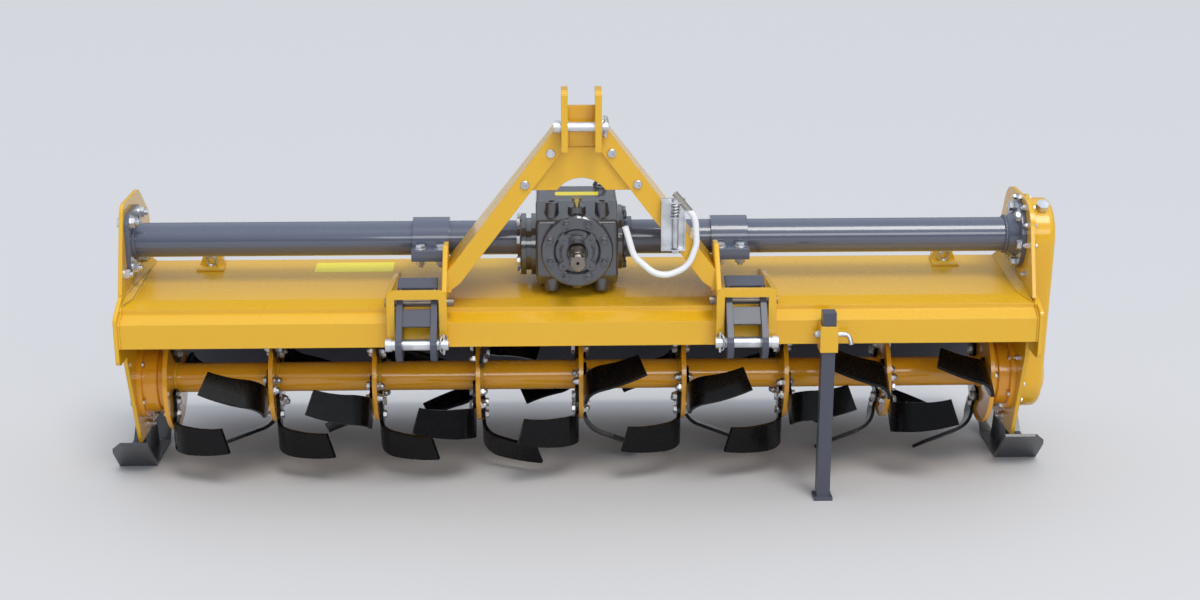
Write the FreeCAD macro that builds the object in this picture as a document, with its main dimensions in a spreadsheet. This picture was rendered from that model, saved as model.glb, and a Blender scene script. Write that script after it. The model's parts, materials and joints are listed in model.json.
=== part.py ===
import FreeCAD, Part
import math
import os
import re

import Sketcher
from FreeCAD import Matrix, Placement, Rotation, Vector

# A 2.4 m rotary tiller for a tractor's three-point linkage, in millimetres.
# X runs along the rotor, Y points backwards from the tractor, Z is up, and the
# origin is on the ground under the middle of the machine.

SIZES = (
    # name, value, what it is
    ("rotor_y", -30, "rotor axis, along the machine"),
    ("rotor_z", 250, "rotor axis above the ground"),
    ("rotor_tube_radius", 39, "rotor tube, outside"),
    ("rotor_tube_wall", 8, "rotor tube, wall"),
    ("flange_pitch", 270, "from one tine flange to the next"),
    ("flange_radius", 120, "tine flange"),
    ("end_flange_radius", 138, "first and last tine flange"),
    ("flange_thickness", 12, "tine flange plate"),
    ("tine_reach", 233, "cutting edge in the middle of a blade from the rotor axis"),
    ("tine_thickness", 9, "tine blade"),
    ("tine_bend_radius", 60, "inside of the bend between shank and blade"),
    ("tine_bend_turn", 70, "bend between shank and blade, in degrees"),
    ("tine_blade_length", 153, "blade's tip from the flange's face, in the middle"),
    ("tine_blade_width", 78, "blade, from its cutting edge to its rear edge"),
    ("tine_blade_set", 35, "blade turned off the tangent, in degrees"),
    ("tine_blade_sweep", 14, "blade's tip behind its bend"),
    ("tine_blade_taper", 12, "blade's tip narrower than its bend"),
    ("tine_blade_slant", 10, "blade's tip, leading corner past the middle"),
    ("tine_shank_width", 46, "shank where it is bolted"),
    ("tine_root_radius", 63, "inner end of the shank from the rotor axis"),
    ("stub_radius", 27.5, "stub shaft of the rotor"),
    ("running_gap", 0.1, "between a shaft or pin and its bore"),
    ("hub_radius", 90, "bearing housing"),
    ("hub_foot_radius", 104, "bearing housing's foot on the side plate"),
    ("hub_gap", 6, "between the end flange and the bearing housing"),
    ("hub_foot_thickness", 14, "bearing housing's foot"),
    ("left_plate_x", -1162, "inner face of the left side plate"),
    ("right_plate_x", 1150, "inner face of the right side plate"),
    ("side_plate_thickness", 10, "side plates and deck ends"),
    ("beam_front_y", -270, "front face of the deck beam"),
    ("beam_low_z", 410, "underside of the deck beam"),
    ("beam_edge_z", 473, "top edge of the beam's front face"),
    ("beam_foot", 36, "underside of the beam, front to rear"),
    ("beam_wall", 6, "beam sheet"),
    ("nose_run", 35, "sloping face above the beam's front"),
    ("nose_z", 491, "top of the sloping face"),
    ("step_rise", 12, "small upright step above the slope"),
    ("sheet_front_y", -180, "front of the deck sheet"),
    ("sheet_front_z", 511, "top of the deck sheet at its front"),
    ("deck_rear_y", 120, "rear edge of the deck sheet"),
    ("deck_rear_z", 532, "top of the deck sheet at its rear"),
    ("sheet_wall", 5, "deck sheet"),
    ("rear_lip", 34, "deck sheet turned down at the rear"),
    ("tube_y", -50, "cross tube axis, along the machine"),
    ("tube_z", 636, "cross tube axis above the ground"),
    ("tube_radius", 44.5, "cross tube"),
    ("tube_wall", 8, "cross tube, wall"),
    ("tube_flange_radius", 90, "round flanges at the ends of the cross tube"),
    ("end_plate_half_width", 76, "left end plate of the cross tube, half its width"),
    ("end_plate_half_height", 82, "left end plate of the cross tube, half its height"),
    ("end_plate_corner", 22, "left end plate's corners, cut off"),
    ("tube_flange_thickness", 12, "flanges at the ends of the cross tube, thick"),
    ("case_radius", 105, "side gear case, round its shafts"),
    ("case_width", 66, "side gear case"),
    ("case_edge", 18, "rounded outer edge of the side gear case"),
    ("case_rim", 10, "bolted rim of the side gear case, wide and thick"),
    ("cap_lean", 32, "filler cap, leaning forward, in degrees"),
    ("gearbox_x", -10, "input shaft, beside the middle"),
    ("gearbox_half", 105, "gear housing, half its width"),
    ("gearbox_depth", 230, "gear housing, front to rear"),
    ("gearbox_low", 99, "gear housing below the shafts"),
    ("gearbox_high", 115, "gear housing above the shafts"),
    ("gearbox_boss_spread", 64, "gear housing's bosses, from its middle"),
    ("gearbox_boss_y", -150, "front row of bosses, along the machine"),
    ("gearbox_boss_radius", 18, "gear housing's bosses"),
    ("gearbox_foot_gap", 10, "feet of the gear housing above the deck"),
    ("side_cover_radius", 80, "bearing cover on the left of the gear housing"),
    ("side_cover_width", 40, "bearing cover on the left of the gear housing"),
    ("side_cover_drop", 18, "that cover's flange below the tube's middle"),
    ("cover_radius", 92, "round front cover of the gear housing"),
    ("cover_thickness", 25, "front cover"),
    ("cover_face_y", -205, "front face of the front cover"),
    ("shaft_radius", 22.2, "input shaft over its six splines"),
    ("shaft_root_radius", 18.5, "input shaft between its splines"),
    ("shaft_end_y", -305, "end of the input shaft"),
    ("clamp_inner_x", 338, "inner side of the tube clamps"),
    ("clamp_width", 95, "tube clamps along the tube"),
    ("clamp_wall", 10, "tube clamp over the tube"),
    ("clamp_foot", 46, "tube clamp's foot in front of the tube"),
    ("clamp_foot_thickness", 14, "tube clamp's foot"),
    ("hitch_x", 411, "lower hitch points from the middle"),
    ("pin_y", -330, "lower hitch pins, along the machine"),
    ("pin_z", 436, "lower hitch pins above the ground"),
    ("pin_radius", 14, "lower hitch pins"),
    ("pin_half", 78, "lower hitch pins, half their length"),
    ("pivot_y", -276, "pivot bars of the lower links, along the machine"),
    ("pivot_z", 530, "pivot bars of the lower links above the ground"),
    ("pivot_radius", 11, "pivot bars of the lower links"),
    ("link_radius", 42, "lower link's cheeks round the pin"),
    ("link_top_radius", 20, "lower link's cheeks round the pivot bar"),
    ("link_half", 51, "lower link, half its width"),
    ("link_cheek", 16, "lower link's cheeks"),
    ("arch_half", 75, "hitch bracket, half its width"),
    ("arch_top_z", 569, "top of the hitch bracket"),
    ("arch_y", -310, "front face of the hitch bracket"),
    ("arch_thickness", 12, "hitch bracket's front plate and cheeks"),
    ("arch_window_z", 547, "top of the window in the hitch bracket"),
    ("top_pin_y", -284, "top link pin, along the machine"),
    ("top_pin_z", 975, "top link pin above the ground"),
    ("top_pin_radius", 12.7, "top link pin"),
    ("ear_gap", 66, "between the mast's ears"),
    ("ear_thickness", 16, "mast ears"),
    ("ear_reach", 32, "mast ears in front of the top link pin"),
    ("ear_top_rise", 94, "top of the mast ears above the pin"),
    ("ear_low_drop", 57, "bottom of the mast ears below the pin"),
    ("mast_y", -262, "front face of the mast legs"),
    ("leg_wall", 10, "mast legs' plate"),
    ("leg_top_x", 61, "outer edge of a mast leg at its top"),
    ("leg_top_z", 970, "upper end of a mast leg"),
    ("leg_low_x", 336, "outer edge of a mast leg at its foot"),
    ("leg_low_z", 604, "outer edge of a mast leg above its foot"),
    ("leg_tip_z", 550, "lower tip of a mast leg"),
    ("leg_face", 48, "front face of a mast leg"),
    ("leg_top_depth", 84, "mast leg's side, front to rear, at the top"),
    ("leg_low_depth", 172, "mast leg's side, front to rear, at the foot"),
    ("gusset_top_z", 918, "top of the mast's front gusset"),
    ("gusset_low_z", 810, "bottom of the mast's front gusset"),
    ("gusset_arch_radius", 73, "round cut-out under the gusset"),
    ("gusset_arch_rise", 31, "height of that cut-out"),
    ("stand_x", 620, "parking stand"),
    ("stand_y", -297, "parking stand, along the machine"),
    ("stand_side", 34, "parking stand's square leg"),
    ("stand_top_z", 505, "top of the parking stand"),
    ("stand_foot_side", 48, "parking stand's foot plate"),
    ("stand_foot_thickness", 8, "parking stand's foot plate"),
    ("socket_gap", 0.5, "parking stand's leg in its socket"),
    ("socket_wall", 5, "parking stand's socket"),
    ("socket_low_z", 402, "bottom of the parking stand's socket"),
    ("socket_top_z", 470, "top of the parking stand's socket"),
    ("stand_pin_z", 444, "locking pin of the parking stand"),
    ("stand_pin_radius", 6, "locking pin of the parking stand"),
    ("skid_inset", 18, "inner edge of a skid inside its side plate"),
    ("skid_left_width", 101, "left skid's runner"),
    ("skid_right_width", 113, "right skid's runner"),
    ("skid_front_y", -36, "front bend of a skid on the ground"),
    ("skid_rear_y", 140, "rear bend of a skid on the ground"),
    ("skid_rise", 98, "skid's nose above the ground"),
    ("skid_tail", 72, "skid's tail above the ground"),
    ("skid_wall", 8, "skid plate"),
    ("board_hinge_y", 134, "trailing board's hinge, along the machine"),
    ("board_hinge_z", 508, "trailing board's hinge above the ground"),
    ("board_rod_radius", 6, "trailing board's hinge rod"),
    ("board_low_y", 345, "lower edge of the trailing board, along the machine"),
    ("board_low_z", 140, "lower edge of the trailing board above the ground"),
    ("board_wall", 5, "trailing board sheet"),
    ("board_gap", 12, "trailing board beside the side plates"),
    ("lug_x", 981, "chain lugs from the middle"),
    ("chain_wire", 7, "chain wire, thick"),
    ("chain_links", 9, "links of each chain, an odd number"),
    ("lug_bar_radius", 4, "bars that hold the ends of the chains"),
    ("lug_y", 130, "chain bars on the deck, along the machine"),
    ("lug_z", 562, "chain bars on the deck above the ground"),
    ("rest_y", -278, "drive shaft rest, along the machine"),
    ("rest_rod_radius", 8, "drive shaft rest, coated rod"),
)

doc = FreeCAD.newDocument("rotary_tiller")
sheet = doc.addObject("Spreadsheet::Sheet", "sizes")
for row, (name, value, what) in enumerate(SIZES, start=1):
    sheet.set(f"A{row}", name)
    sheet.set(f"B{row}", str(value))
    sheet.set(f"C{row}", what)
    sheet.setAlias(f"B{row}", name)
doc.recompute()

ALIASES = {name for name, value, what in SIZES}


class Sizes:
    """Reads a driving dimension from the spreadsheet by its name."""

    def __getattr__(self, name):
        return float(sheet.get(name))


s = Sizes()
parts = []


def bound(text):
    """A formula on the spreadsheet's names, as the document writes it."""
    return re.sub(
        r"[a-z]\w*", lambda m: "sizes." + m[0] if m[0] in ALIASES else m[0], str(text)
    )


def keep(feature, label):
    feature.Label = label
    parts.append(feature)
    return feature


# Flat pieces: an outline on a plane, drawn with its corners bound to the sheet.


def new_sketch(body, plane, offset):
    sketch = body.newObject("Sketcher::SketchObject", body.Name + "_outline")
    origin = [f for f in body.Origin.OriginFeatures if f.Role == plane + "_Plane"][0]
    sketch.AttachmentSupport = [(origin, "")]
    sketch.MapMode = "FlatFace"
    sign = "-1 * " if plane == "XZ" else ""
    sketch.setExpression("AttachmentOffset.Base.z", bound(f"{sign}({offset})"))
    return sketch


def place_point(sketch, geometry, vertex, across, up, spot):
    """Binds a point of the sketch to two formulas, measured from the origin."""
    first = sketch.ConstraintCount
    sketch.addConstraint(
        [
            Sketcher.Constraint("DistanceX", -1, 1, geometry, vertex, spot.x),
            Sketcher.Constraint("DistanceY", -1, 1, geometry, vertex, spot.y),
        ]
    )
    sketch.setExpression(f"Constraints[{first}]", bound(across))
    sketch.setExpression(f"Constraints[{first + 1}]", bound(up))


def draw_outline(sketch, corners):
    """A closed outline of straight sides through the corners."""
    start = sketch.GeometryCount
    count = len(corners)
    spots = [
        Vector(900 * math.cos(math.tau * i / count), 900 * math.sin(math.tau * i / count), 0)
        for i in range(count)
    ]
    for i in range(count):
        sketch.addGeometry(Part.LineSegment(spots[i], spots[(i + 1) % count]), False)
    for i in range(count):
        sketch.addConstraint(
            Sketcher.Constraint("Coincident", start + i, 2, start + (i + 1) % count, 1)
        )
    for i, (across, up) in enumerate(corners):
        place_point(sketch, start + i, 1, across, up, spots[i])


def draw_hole(sketch, across, up, radius):
    spot = Vector(1, 1, 0)
    index = sketch.addGeometry(Part.Circle(spot, Vector(0, 0, 1), 5), False)
    place_point(sketch, index, 3, across, up, spot)
    first = sketch.ConstraintCount
    sketch.addConstraint(Sketcher.Constraint("Radius", index, 5))
    sketch.setExpression(f"Constraints[{first}]", bound(radius))


def add_pad(body, plane, offset, length, corners, holes=(), windows=()):
    """Pads an outline along +X, +Y or +Z, from the offset plane."""
    sketch = new_sketch(body, plane, offset)
    draw_outline(sketch, corners)
    for window in windows:
        draw_outline(sketch, window)
    for hole in holes:
        draw_hole(sketch, *hole)
    pad = body.newObject("PartDesign::Pad", body.Name + "_pad")
    pad.Profile = sketch
    pad.setExpression("Length", bound(length))
    pad.Reversed = plane == "XZ"
    body.Tip = pad
    return pad


def cut_pocket(body, plane, offset, length, corners):
    sketch = new_sketch(body, plane, offset)
    draw_outline(sketch, corners)
    pocket = body.newObject("PartDesign::Pocket", body.Name + "_pocket")
    pocket.Profile = sketch
    pocket.setExpression("Length", bound(length))
    pocket.Reversed = plane != "XZ"
    body.Tip = pocket
    return pocket


def round_corners(body, axis, spots, radius):
    """Fillets the edges that run along the axis through the given points."""
    doc.recompute()
    base = body.Tip
    along = {"X": Vector(1, 0, 0), "Y": Vector(0, 1, 0), "Z": Vector(0, 0, 1)}[axis]
    names = []
    for number, edge in enumerate(base.Shape.Edges, start=1):
        ends = edge.Vertexes
        if len(ends) < 2 or edge.Curve.TypeId != "Part::GeomLine":
            continue
        if abs(edge.tangentAt(edge.FirstParameter).dot(along)) < 0.999:
            continue
        for spot in spots:
            offset = ends[0].Point - Vector(*spot)
            if (offset - along * offset.dot(along)).Length < 0.5:
                names.append(f"Edge{number}")
                break
    fillet = body.newObject("PartDesign::Fillet", body.Name + "_round")
    fillet.Base = (base, names)
    fillet.Radius = radius
    body.Tip = fillet
    return fillet


def new_body(label):
    return doc.addObject("PartDesign::Body", label)


def plate(label, plane, offset, length, corners, holes=(), windows=()):
    body = new_body(label)
    add_pad(body, plane, offset, length, corners, holes, windows)
    return keep(body, label)


# Round and square pieces, and what joins or cuts them.

TURNS = {
    "X": Rotation(Vector(0, 1, 0), 90),
    "Y": Rotation(Vector(1, 0, 0), -90),
    "Z": Rotation(),
}


def bind_place(feature, at):
    for letter, formula in zip("xyz", at):
        feature.setExpression(f"Placement.Base.{letter}", bound(formula))


def rod(axis, radius, length, at):
    """A cylinder from the given point along +X, +Y or +Z."""
    feature = doc.addObject("Part::Cylinder", "rod")
    feature.Placement = Placement(Vector(), TURNS[axis])
    feature.setExpression("Radius", bound(radius))
    feature.setExpression("Height", bound(length))
    bind_place(feature, at)
    return feature


def cone(axis, radius, end_radius, length, at):
    feature = doc.addObject("Part::Cone", "cone")
    feature.Placement = Placement(Vector(), TURNS[axis])
    feature.setExpression("Radius1", bound(radius))
    feature.setExpression("Radius2", bound(end_radius))
    feature.setExpression("Height", bound(length))
    bind_place(feature, at)
    return feature


def block(length, width, height, at):
    feature = doc.addObject("Part::Box", "block")
    feature.setExpression("Length", bound(length))
    feature.setExpression("Width", bound(width))
    feature.setExpression("Height", bound(height))
    bind_place(feature, at)
    return feature


def fused(pieces):
    feature = doc.addObject("Part::MultiFuse", "fused")
    feature.Shapes = pieces
    return feature


def cut(base, tools):
    feature = doc.addObject("Part::Cut", "cut")
    feature.Base = base
    feature.Tool = tools[0] if len(tools) == 1 else fused(tools)
    return feature


def ring(axis, radius, bore, length, at):
    return cut(rod(axis, radius, length, at), [rod(axis, bore, length, at)])


def shaped(label, shape):
    feature = doc.addObject("Part::Feature", label)
    feature.Shape = shape
    return keep(feature, label)


def turned(profile, axis, centre):
    """A solid of revolution; the profile gives places along the axis and radii."""
    along = {"X": Vector(1, 0, 0), "Y": Vector(0, 1, 0), "Z": Vector(0, 0, 1)}[axis]
    out = Vector(along.z, along.x, along.y)
    points = [centre + along * place + out * radius for place, radius in profile]
    face = Part.Face(Part.makePolygon(points + points[:1]))
    return face.revolve(centre, along, 360)


def belt(near, far, near_radius, far_radius, normal, thickness):
    """A plate round two circles, with straight sides that touch both."""
    axis = far - near
    across = normal.cross(axis).normalize()
    along = Vector(axis).normalize()
    lean = (near_radius - far_radius) / axis.Length
    side = math.sqrt(1 - lean * lean)
    points = []
    for sign in (1, -1):
        spoke = along * lean + across * (sign * side)
        points.append((near + spoke * near_radius, far + spoke * far_radius))
    (a, b), (d, c) = points
    edges = [
        Part.LineSegment(a, b).toShape(),
        Part.Arc(b, far + along * far_radius, c).toShape(),
        Part.LineSegment(c, d).toShape(),
        Part.Arc(d, near - along * near_radius, a).toShape(),
    ]
    return Part.Face(Part.Wire(edges)).extrude(normal * thickness)


def flat_plate(points, push):
    return Part.Face(Part.makePolygon(points + points[:1])).extrude(push)


# The deck: a folded sheet whose front is a box beam, with a turned-down rear edge.


def make_deck():
    body = new_body("deck")
    add_pad(
        body,
        "YZ",
        "left_plate_x",
        "right_plate_x + side_plate_thickness - left_plate_x",
        [
            ("beam_front_y", "beam_low_z"),
            ("beam_front_y", "beam_edge_z"),
            ("beam_front_y + nose_run", "nose_z"),
            ("beam_front_y + nose_run", "nose_z + step_rise"),
            ("sheet_front_y", "sheet_front_z"),
            ("sheet_front_y", "sheet_front_z - beam_wall"),
            ("beam_front_y + beam_foot", "beam_low_z"),
        ],
        windows=[
            [
                ("beam_front_y + beam_wall", "beam_low_z + beam_wall"),
                ("beam_front_y + beam_wall", "beam_edge_z - beam_wall / 2"),
                ("beam_front_y + nose_run + beam_wall", "nose_z - beam_wall / 2"),
                ("beam_front_y + nose_run + beam_wall", "nose_z + step_rise - beam_wall"),
                ("sheet_front_y - 2.5 * beam_wall", "sheet_front_z - 1.6 * beam_wall"),
                ("beam_front_y + beam_foot - beam_wall / 2", "beam_low_z + beam_wall"),
            ]
        ],
    )
    add_pad(
        body,
        "YZ",
        "left_plate_x",
        "right_plate_x - left_plate_x",
        [
            ("sheet_front_y", "sheet_front_z"),
            ("deck_rear_y", "deck_rear_z"),
            ("deck_rear_y", "deck_rear_z - rear_lip"),
            ("deck_rear_y - sheet_wall", "deck_rear_z - rear_lip"),
            ("deck_rear_y - sheet_wall", "deck_rear_z - sheet_wall"),
            ("sheet_front_y", "sheet_front_z - sheet_wall"),
        ],
    )
    return keep(body, "deck")


make_deck()

# Deck ends: rounded plates that close the beam and stand proud of it.

for label, start, rear_top in (
    ("deck_end_left", "left_plate_x - side_plate_thickness", "sheet_front_z + 16"),
    ("deck_end_right", "right_plate_x + side_plate_thickness", "sheet_front_z + 4"),
):
    end_plate = plate(
        label,
        "YZ",
        start,
        "side_plate_thickness",
        [
            ("beam_front_y - 8", "beam_low_z - 44"),
            ("beam_front_y - 8", "beam_edge_z + 18"),
            ("sheet_front_y - 20", rear_top),
            ("sheet_front_y - 20", "beam_low_z - 44"),
        ],
    )
    front = s.beam_front_y - 8
    round_corners(
        end_plate,
        "X",
        [(0, front, s.beam_low_z - 44), (0, front, s.beam_edge_z + 18)],
        16,
    )

# Side plates: the left one carries the tube and the rotor, the right one the gear case.


def make_side_plates():
    left = plate(
        "side_plate_left",
        "YZ",
        "left_plate_x - side_plate_thickness",
        "side_plate_thickness",
        [
            ("rotor_y - 76", "96"),
            ("sheet_front_y - 20", "rotor_z + 104"),
            ("sheet_front_y - 20", "sheet_front_z + 22"),
            ("tube_y - 66", "tube_z + 108"),
            ("tube_y + 116", "tube_z + 108"),
            ("tube_y + 214", "tube_z + 24"),
            ("rotor_y + 226", "rotor_z + 40"),
            ("rotor_y + 150", "96"),
        ],
    )
    round_corners(
        left,
        "X",
        [
            (0, s.tube_y - 66, s.tube_z + 108),
            (0, s.tube_y + 116, s.tube_z + 108),
            (0, s.tube_y + 214, s.tube_z + 24),
            (0, s.rotor_y + 226, s.rotor_z + 40),
        ],
        32,
    )
    right = plate(
        "side_plate_right",
        "YZ",
        "right_plate_x",
        "side_plate_thickness",
        [
            ("rotor_y - 80", "94"),
            ("sheet_front_y - 20", "rotor_z + 100"),
            ("sheet_front_y - 20", "beam_low_z + 36"),
            ("sheet_front_y + 6", "sheet_front_z - 20"),
            ("sheet_front_y + 6", "sheet_front_z + 3"),
            ("sheet_front_y - 50", "sheet_front_z + 3"),
            ("tube_y - 96", "tube_z + 104"),
            ("tube_y + 140", "tube_z + 104"),
            ("tube_y + 214", "tube_z - 60"),
            ("rotor_y + 226", "rotor_z + 40"),
            ("rotor_y + 150", "94"),
        ],
    )
    round_corners(
        right,
        "X",
        [
            (0, s.tube_y - 96, s.tube_z + 104),
            (0, s.tube_y + 140, s.tube_z + 104),
        ],
        80,
    )


make_side_plates()

# Side gear case: an oblong housing outside the right plate, with its filler cap on top.


def make_side_case():
    inner = s.right_plate_x + s.side_plate_thickness
    low = Vector(inner, s.rotor_y, s.rotor_z)
    high = Vector(inner, s.tube_y, s.tube_z)
    out = Vector(1, 0, 0)
    rim = belt(low, high, s.case_radius, s.case_radius, out, s.case_rim)
    pan_radius = s.case_radius - s.case_rim
    pan = belt(low, high, pan_radius, pan_radius, out, s.case_width)
    edge = [e for e in pan.Edges if e.BoundBox.XMin > inner + s.case_width - 1]
    pan = pan.makeFillet(s.case_edge, edge)
    cap = turned(
        [(s.case_width - 6, 0), (s.case_width - 6, 66), (s.case_width + 5, 66), (s.case_width + 9, 60), (s.case_width + 9, 0)],
        "X",
        low,
    )
    return shaped("side_gearcase", pan.multiFuse([rim, cap]).removeSplitter())


side_case = make_side_case()


def make_filler_cap():
    """A hex plug on a short neck, leaning forward on the round top of the gear case."""
    shaft = Vector(s.right_plate_x + s.side_plate_thickness + s.case_width / 2, s.tube_y, s.tube_z)
    seat = shaft + Vector(0, 0, s.case_radius - s.case_rim)
    turns = [math.tau * i / 6 for i in range(6)]
    head = flat_plate(
        [seat + Vector(17 * math.cos(a), 17 * math.sin(a), 6) for a in turns], Vector(0, 0, 12)
    )
    cap = head.fuse(Part.makeCylinder(15, 10, seat - Vector(0, 0, 3)))
    cap.rotate(shaft, Vector(1, 0, 0), s.cap_lean)
    shaped("filler_cap", cap.cut(side_case.Shape))


make_filler_cap()

# Cross tube: two halves of one drive tube, bolted to the gear housing and the side plates.


def make_left_tube():
    """The tube's left half, with a rectangular flange whose corners are cut off."""
    start = Vector(s.left_plate_x, s.tube_y, s.tube_z)
    out = Vector(1, 0, 0)
    length = s.gearbox_x - s.gearbox_half - s.side_cover_width + 12 - s.left_plate_x
    wide, high, corner = s.end_plate_half_width, s.end_plate_half_height, s.end_plate_corner
    outline = []
    for across, up in ((1, 1), (-1, 1), (-1, -1), (1, -1)):
        cut_corner = [(wide, high - corner), (wide - corner, high)]
        if across * up < 0:
            cut_corner.reverse()
        outline += [start + Vector(0, across * a, up * b) for a, b in cut_corner]
    flange = flat_plate(outline, out * s.tube_flange_thickness)
    tube = Part.makeCylinder(s.tube_radius, length, start, out)
    bore = Part.makeCylinder(s.tube_radius - s.tube_wall, length, start, out)
    shaped("cross_tube_left", tube.fuse(flange).cut(bore).removeSplitter())


make_left_tube()
keep(
    fused(
        [
            ring(
                "X",
                "tube_radius",
                "tube_radius - tube_wall",
                "right_plate_x - gearbox_x - gearbox_half",
                ("gearbox_x + gearbox_half", "tube_y", "tube_z"),
            ),
            ring(
                "X",
                "tube_radius + 9",
                "tube_radius - 1",
                "tube_flange_thickness + 10",
                ("gearbox_x + gearbox_half + 16", "tube_y", "tube_z"),
            ),
            ring(
                "X",
                "tube_flange_radius",
                "tube_radius - 1",
                "tube_flange_thickness",
                ("right_plate_x - tube_flange_thickness", "tube_y", "tube_z"),
            ),
            cut(
                cone(
                    "X",
                    "tube_radius",
                    "tube_radius + 16",
                    "28",
                    ("right_plate_x - tube_flange_thickness - 28", "tube_y", "tube_z"),
                ),
                [
                    rod(
                        "X",
                        "tube_radius - 1",
                        "28",
                        ("right_plate_x - tube_flange_thickness - 28", "tube_y", "tube_z"),
                    )
                ],
            ),
        ]
    ),
    "cross_tube_right",
)

# Gear housing: a cast block with corner bosses, a bearing cover on its left,
# a round front cover and the splined input shaft.


def deck_top(y):
    """The point of the deck sheet's upper face at this place along the machine."""
    share = (y - s.sheet_front_y) / (s.deck_rear_y - s.sheet_front_y)
    return Vector(0, y, s.sheet_front_z + share * (s.deck_rear_z - s.sheet_front_z))


def make_gear_housing():
    """A cast box with a sloping front shoulder, on which three bosses stand."""
    x, y, z = s.gearbox_x, s.tube_y - 15, s.tube_z
    half, depth = s.gearbox_half, s.gearbox_depth / 2
    front = Vector(x, y - depth, z)
    top = z + s.gearbox_high
    low = z - s.gearbox_low
    outline = [
        (-depth, low + 30),
        (-depth, top - 40),
        (64 - depth, top),
        (depth - 10, top),
        (depth, top - 10),
        (depth, low + 30),
        (depth - 30, low),
        (30 - depth, low),
    ]
    body = flat_plate([Vector(x - half, y + a, b) for a, b in outline], Vector(2 * half, 0, 0))
    body = body.makeFillet(12, [e for e in body.Edges if e.BoundBox.XLength > 100])
    body = body.makeFillet(11, [e for e in body.Edges if e.BoundBox.XLength < 0.1])
    pieces = []
    radius = s.gearbox_boss_radius
    rear_boss_y = 2 * y - s.gearbox_boss_y
    rear_foot = deck_top(rear_boss_y).z + s.gearbox_foot_gap
    front_foot = deck_top(s.gearbox_boss_y).z + s.gearbox_foot_gap
    for across in (-1, 1):
        for place, foot in ((s.gearbox_boss_y, front_foot), (rear_boss_y, rear_foot)):
            at = Vector(x + across * s.gearbox_boss_spread, place, 0)
            # Bolted bosses, above and below, with a slight draft and a turned face.
            pieces.append(
                turned([(top - 60, 0), (top - 60, radius + 2), (top + 4, radius), (top + 6, radius - 2), (top + 6, 0)], "Z", at)
            )
            pieces.append(
                turned([(foot, 0), (foot, radius - 1), (foot + 2, radius + 1), (low + 30, radius + 3), (low + 30, 0)], "Z", at)
            )
    middle = Vector(x, s.gearbox_boss_y, top)
    pieces.append(turned([(-60, 0), (-60, 25), (-7, 23), (-5, 21), (-5, 0)], "Z", middle))
    bolted = Vector(x + half, s.tube_y, z)
    pieces.append(turned([(-6, 0), (-6, 84), (12, 84), (16, 80), (16, s.tube_radius), (0, s.tube_radius), (0, 0)], "X", bolted))
    housing = body.multiFuse(pieces)
    for across in (-1, 1):
        for place in (s.gearbox_boss_y, rear_boss_y):
            # Blind threaded holes in the upper bosses.
            hole = Vector(x + across * s.gearbox_boss_spread, place, top - 8)
            housing = housing.cut(Part.makeCylinder(8, 20, hole))
    mouth = Part.makeCylinder(s.shaft_radius + 6, 42, front - Vector(0, 1, 0), Vector(0, 1, 0))
    shaped("gearbox_housing", housing.cut(mouth).removeSplitter())


make_gear_housing()


def make_side_cover():
    """A bearing cover whose round flange hangs below the tube that enters it."""
    outer = s.side_cover_width
    wall = Vector(s.gearbox_x - s.gearbox_half - outer, s.tube_y, s.tube_z)
    low = wall - Vector(0, 0, s.side_cover_drop)
    flange = turned(
        [(2, 0), (0, s.side_cover_radius - 3), (3, s.side_cover_radius), (15, s.side_cover_radius), (15, 0)],
        "X",
        low,
    )
    waist = turned([(12, 0), (12, s.side_cover_radius - 12), (outer - 12, s.side_cover_radius - 12), (outer - 12, 0)], "X", low)
    seat = turned([(outer - 12, 0), (outer - 12, s.side_cover_radius), (outer, s.side_cover_radius), (outer, 0)], "X", low)
    collar = turned([(-8, 0), (-8, s.tube_radius + 7), (4, s.tube_radius + 11), (4, 0)], "X", wall)
    socket = turned([(-9, 0), (-9, s.tube_radius), (12, s.tube_radius), (12, 0)], "X", wall)
    way = turned([(11, 0), (11, s.tube_radius - s.tube_wall), (outer, s.tube_radius - s.tube_wall), (outer, 0)], "X", wall)
    shaped(
        "gearbox_side_cover",
        flange.multiFuse([waist, seat, collar]).cut(socket.fuse(way)).removeSplitter(),
    )


make_side_cover()
keep(
    fused(
        [
            rod("Z", "8", "12", ("gearbox_x", "gearbox_boss_y", "tube_z + gearbox_high - 5")),
            rod("Z", "12", "9", ("gearbox_x", "gearbox_boss_y", "tube_z + gearbox_high + 6")),
        ]
    ),
    "breather_plug",
)


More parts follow.
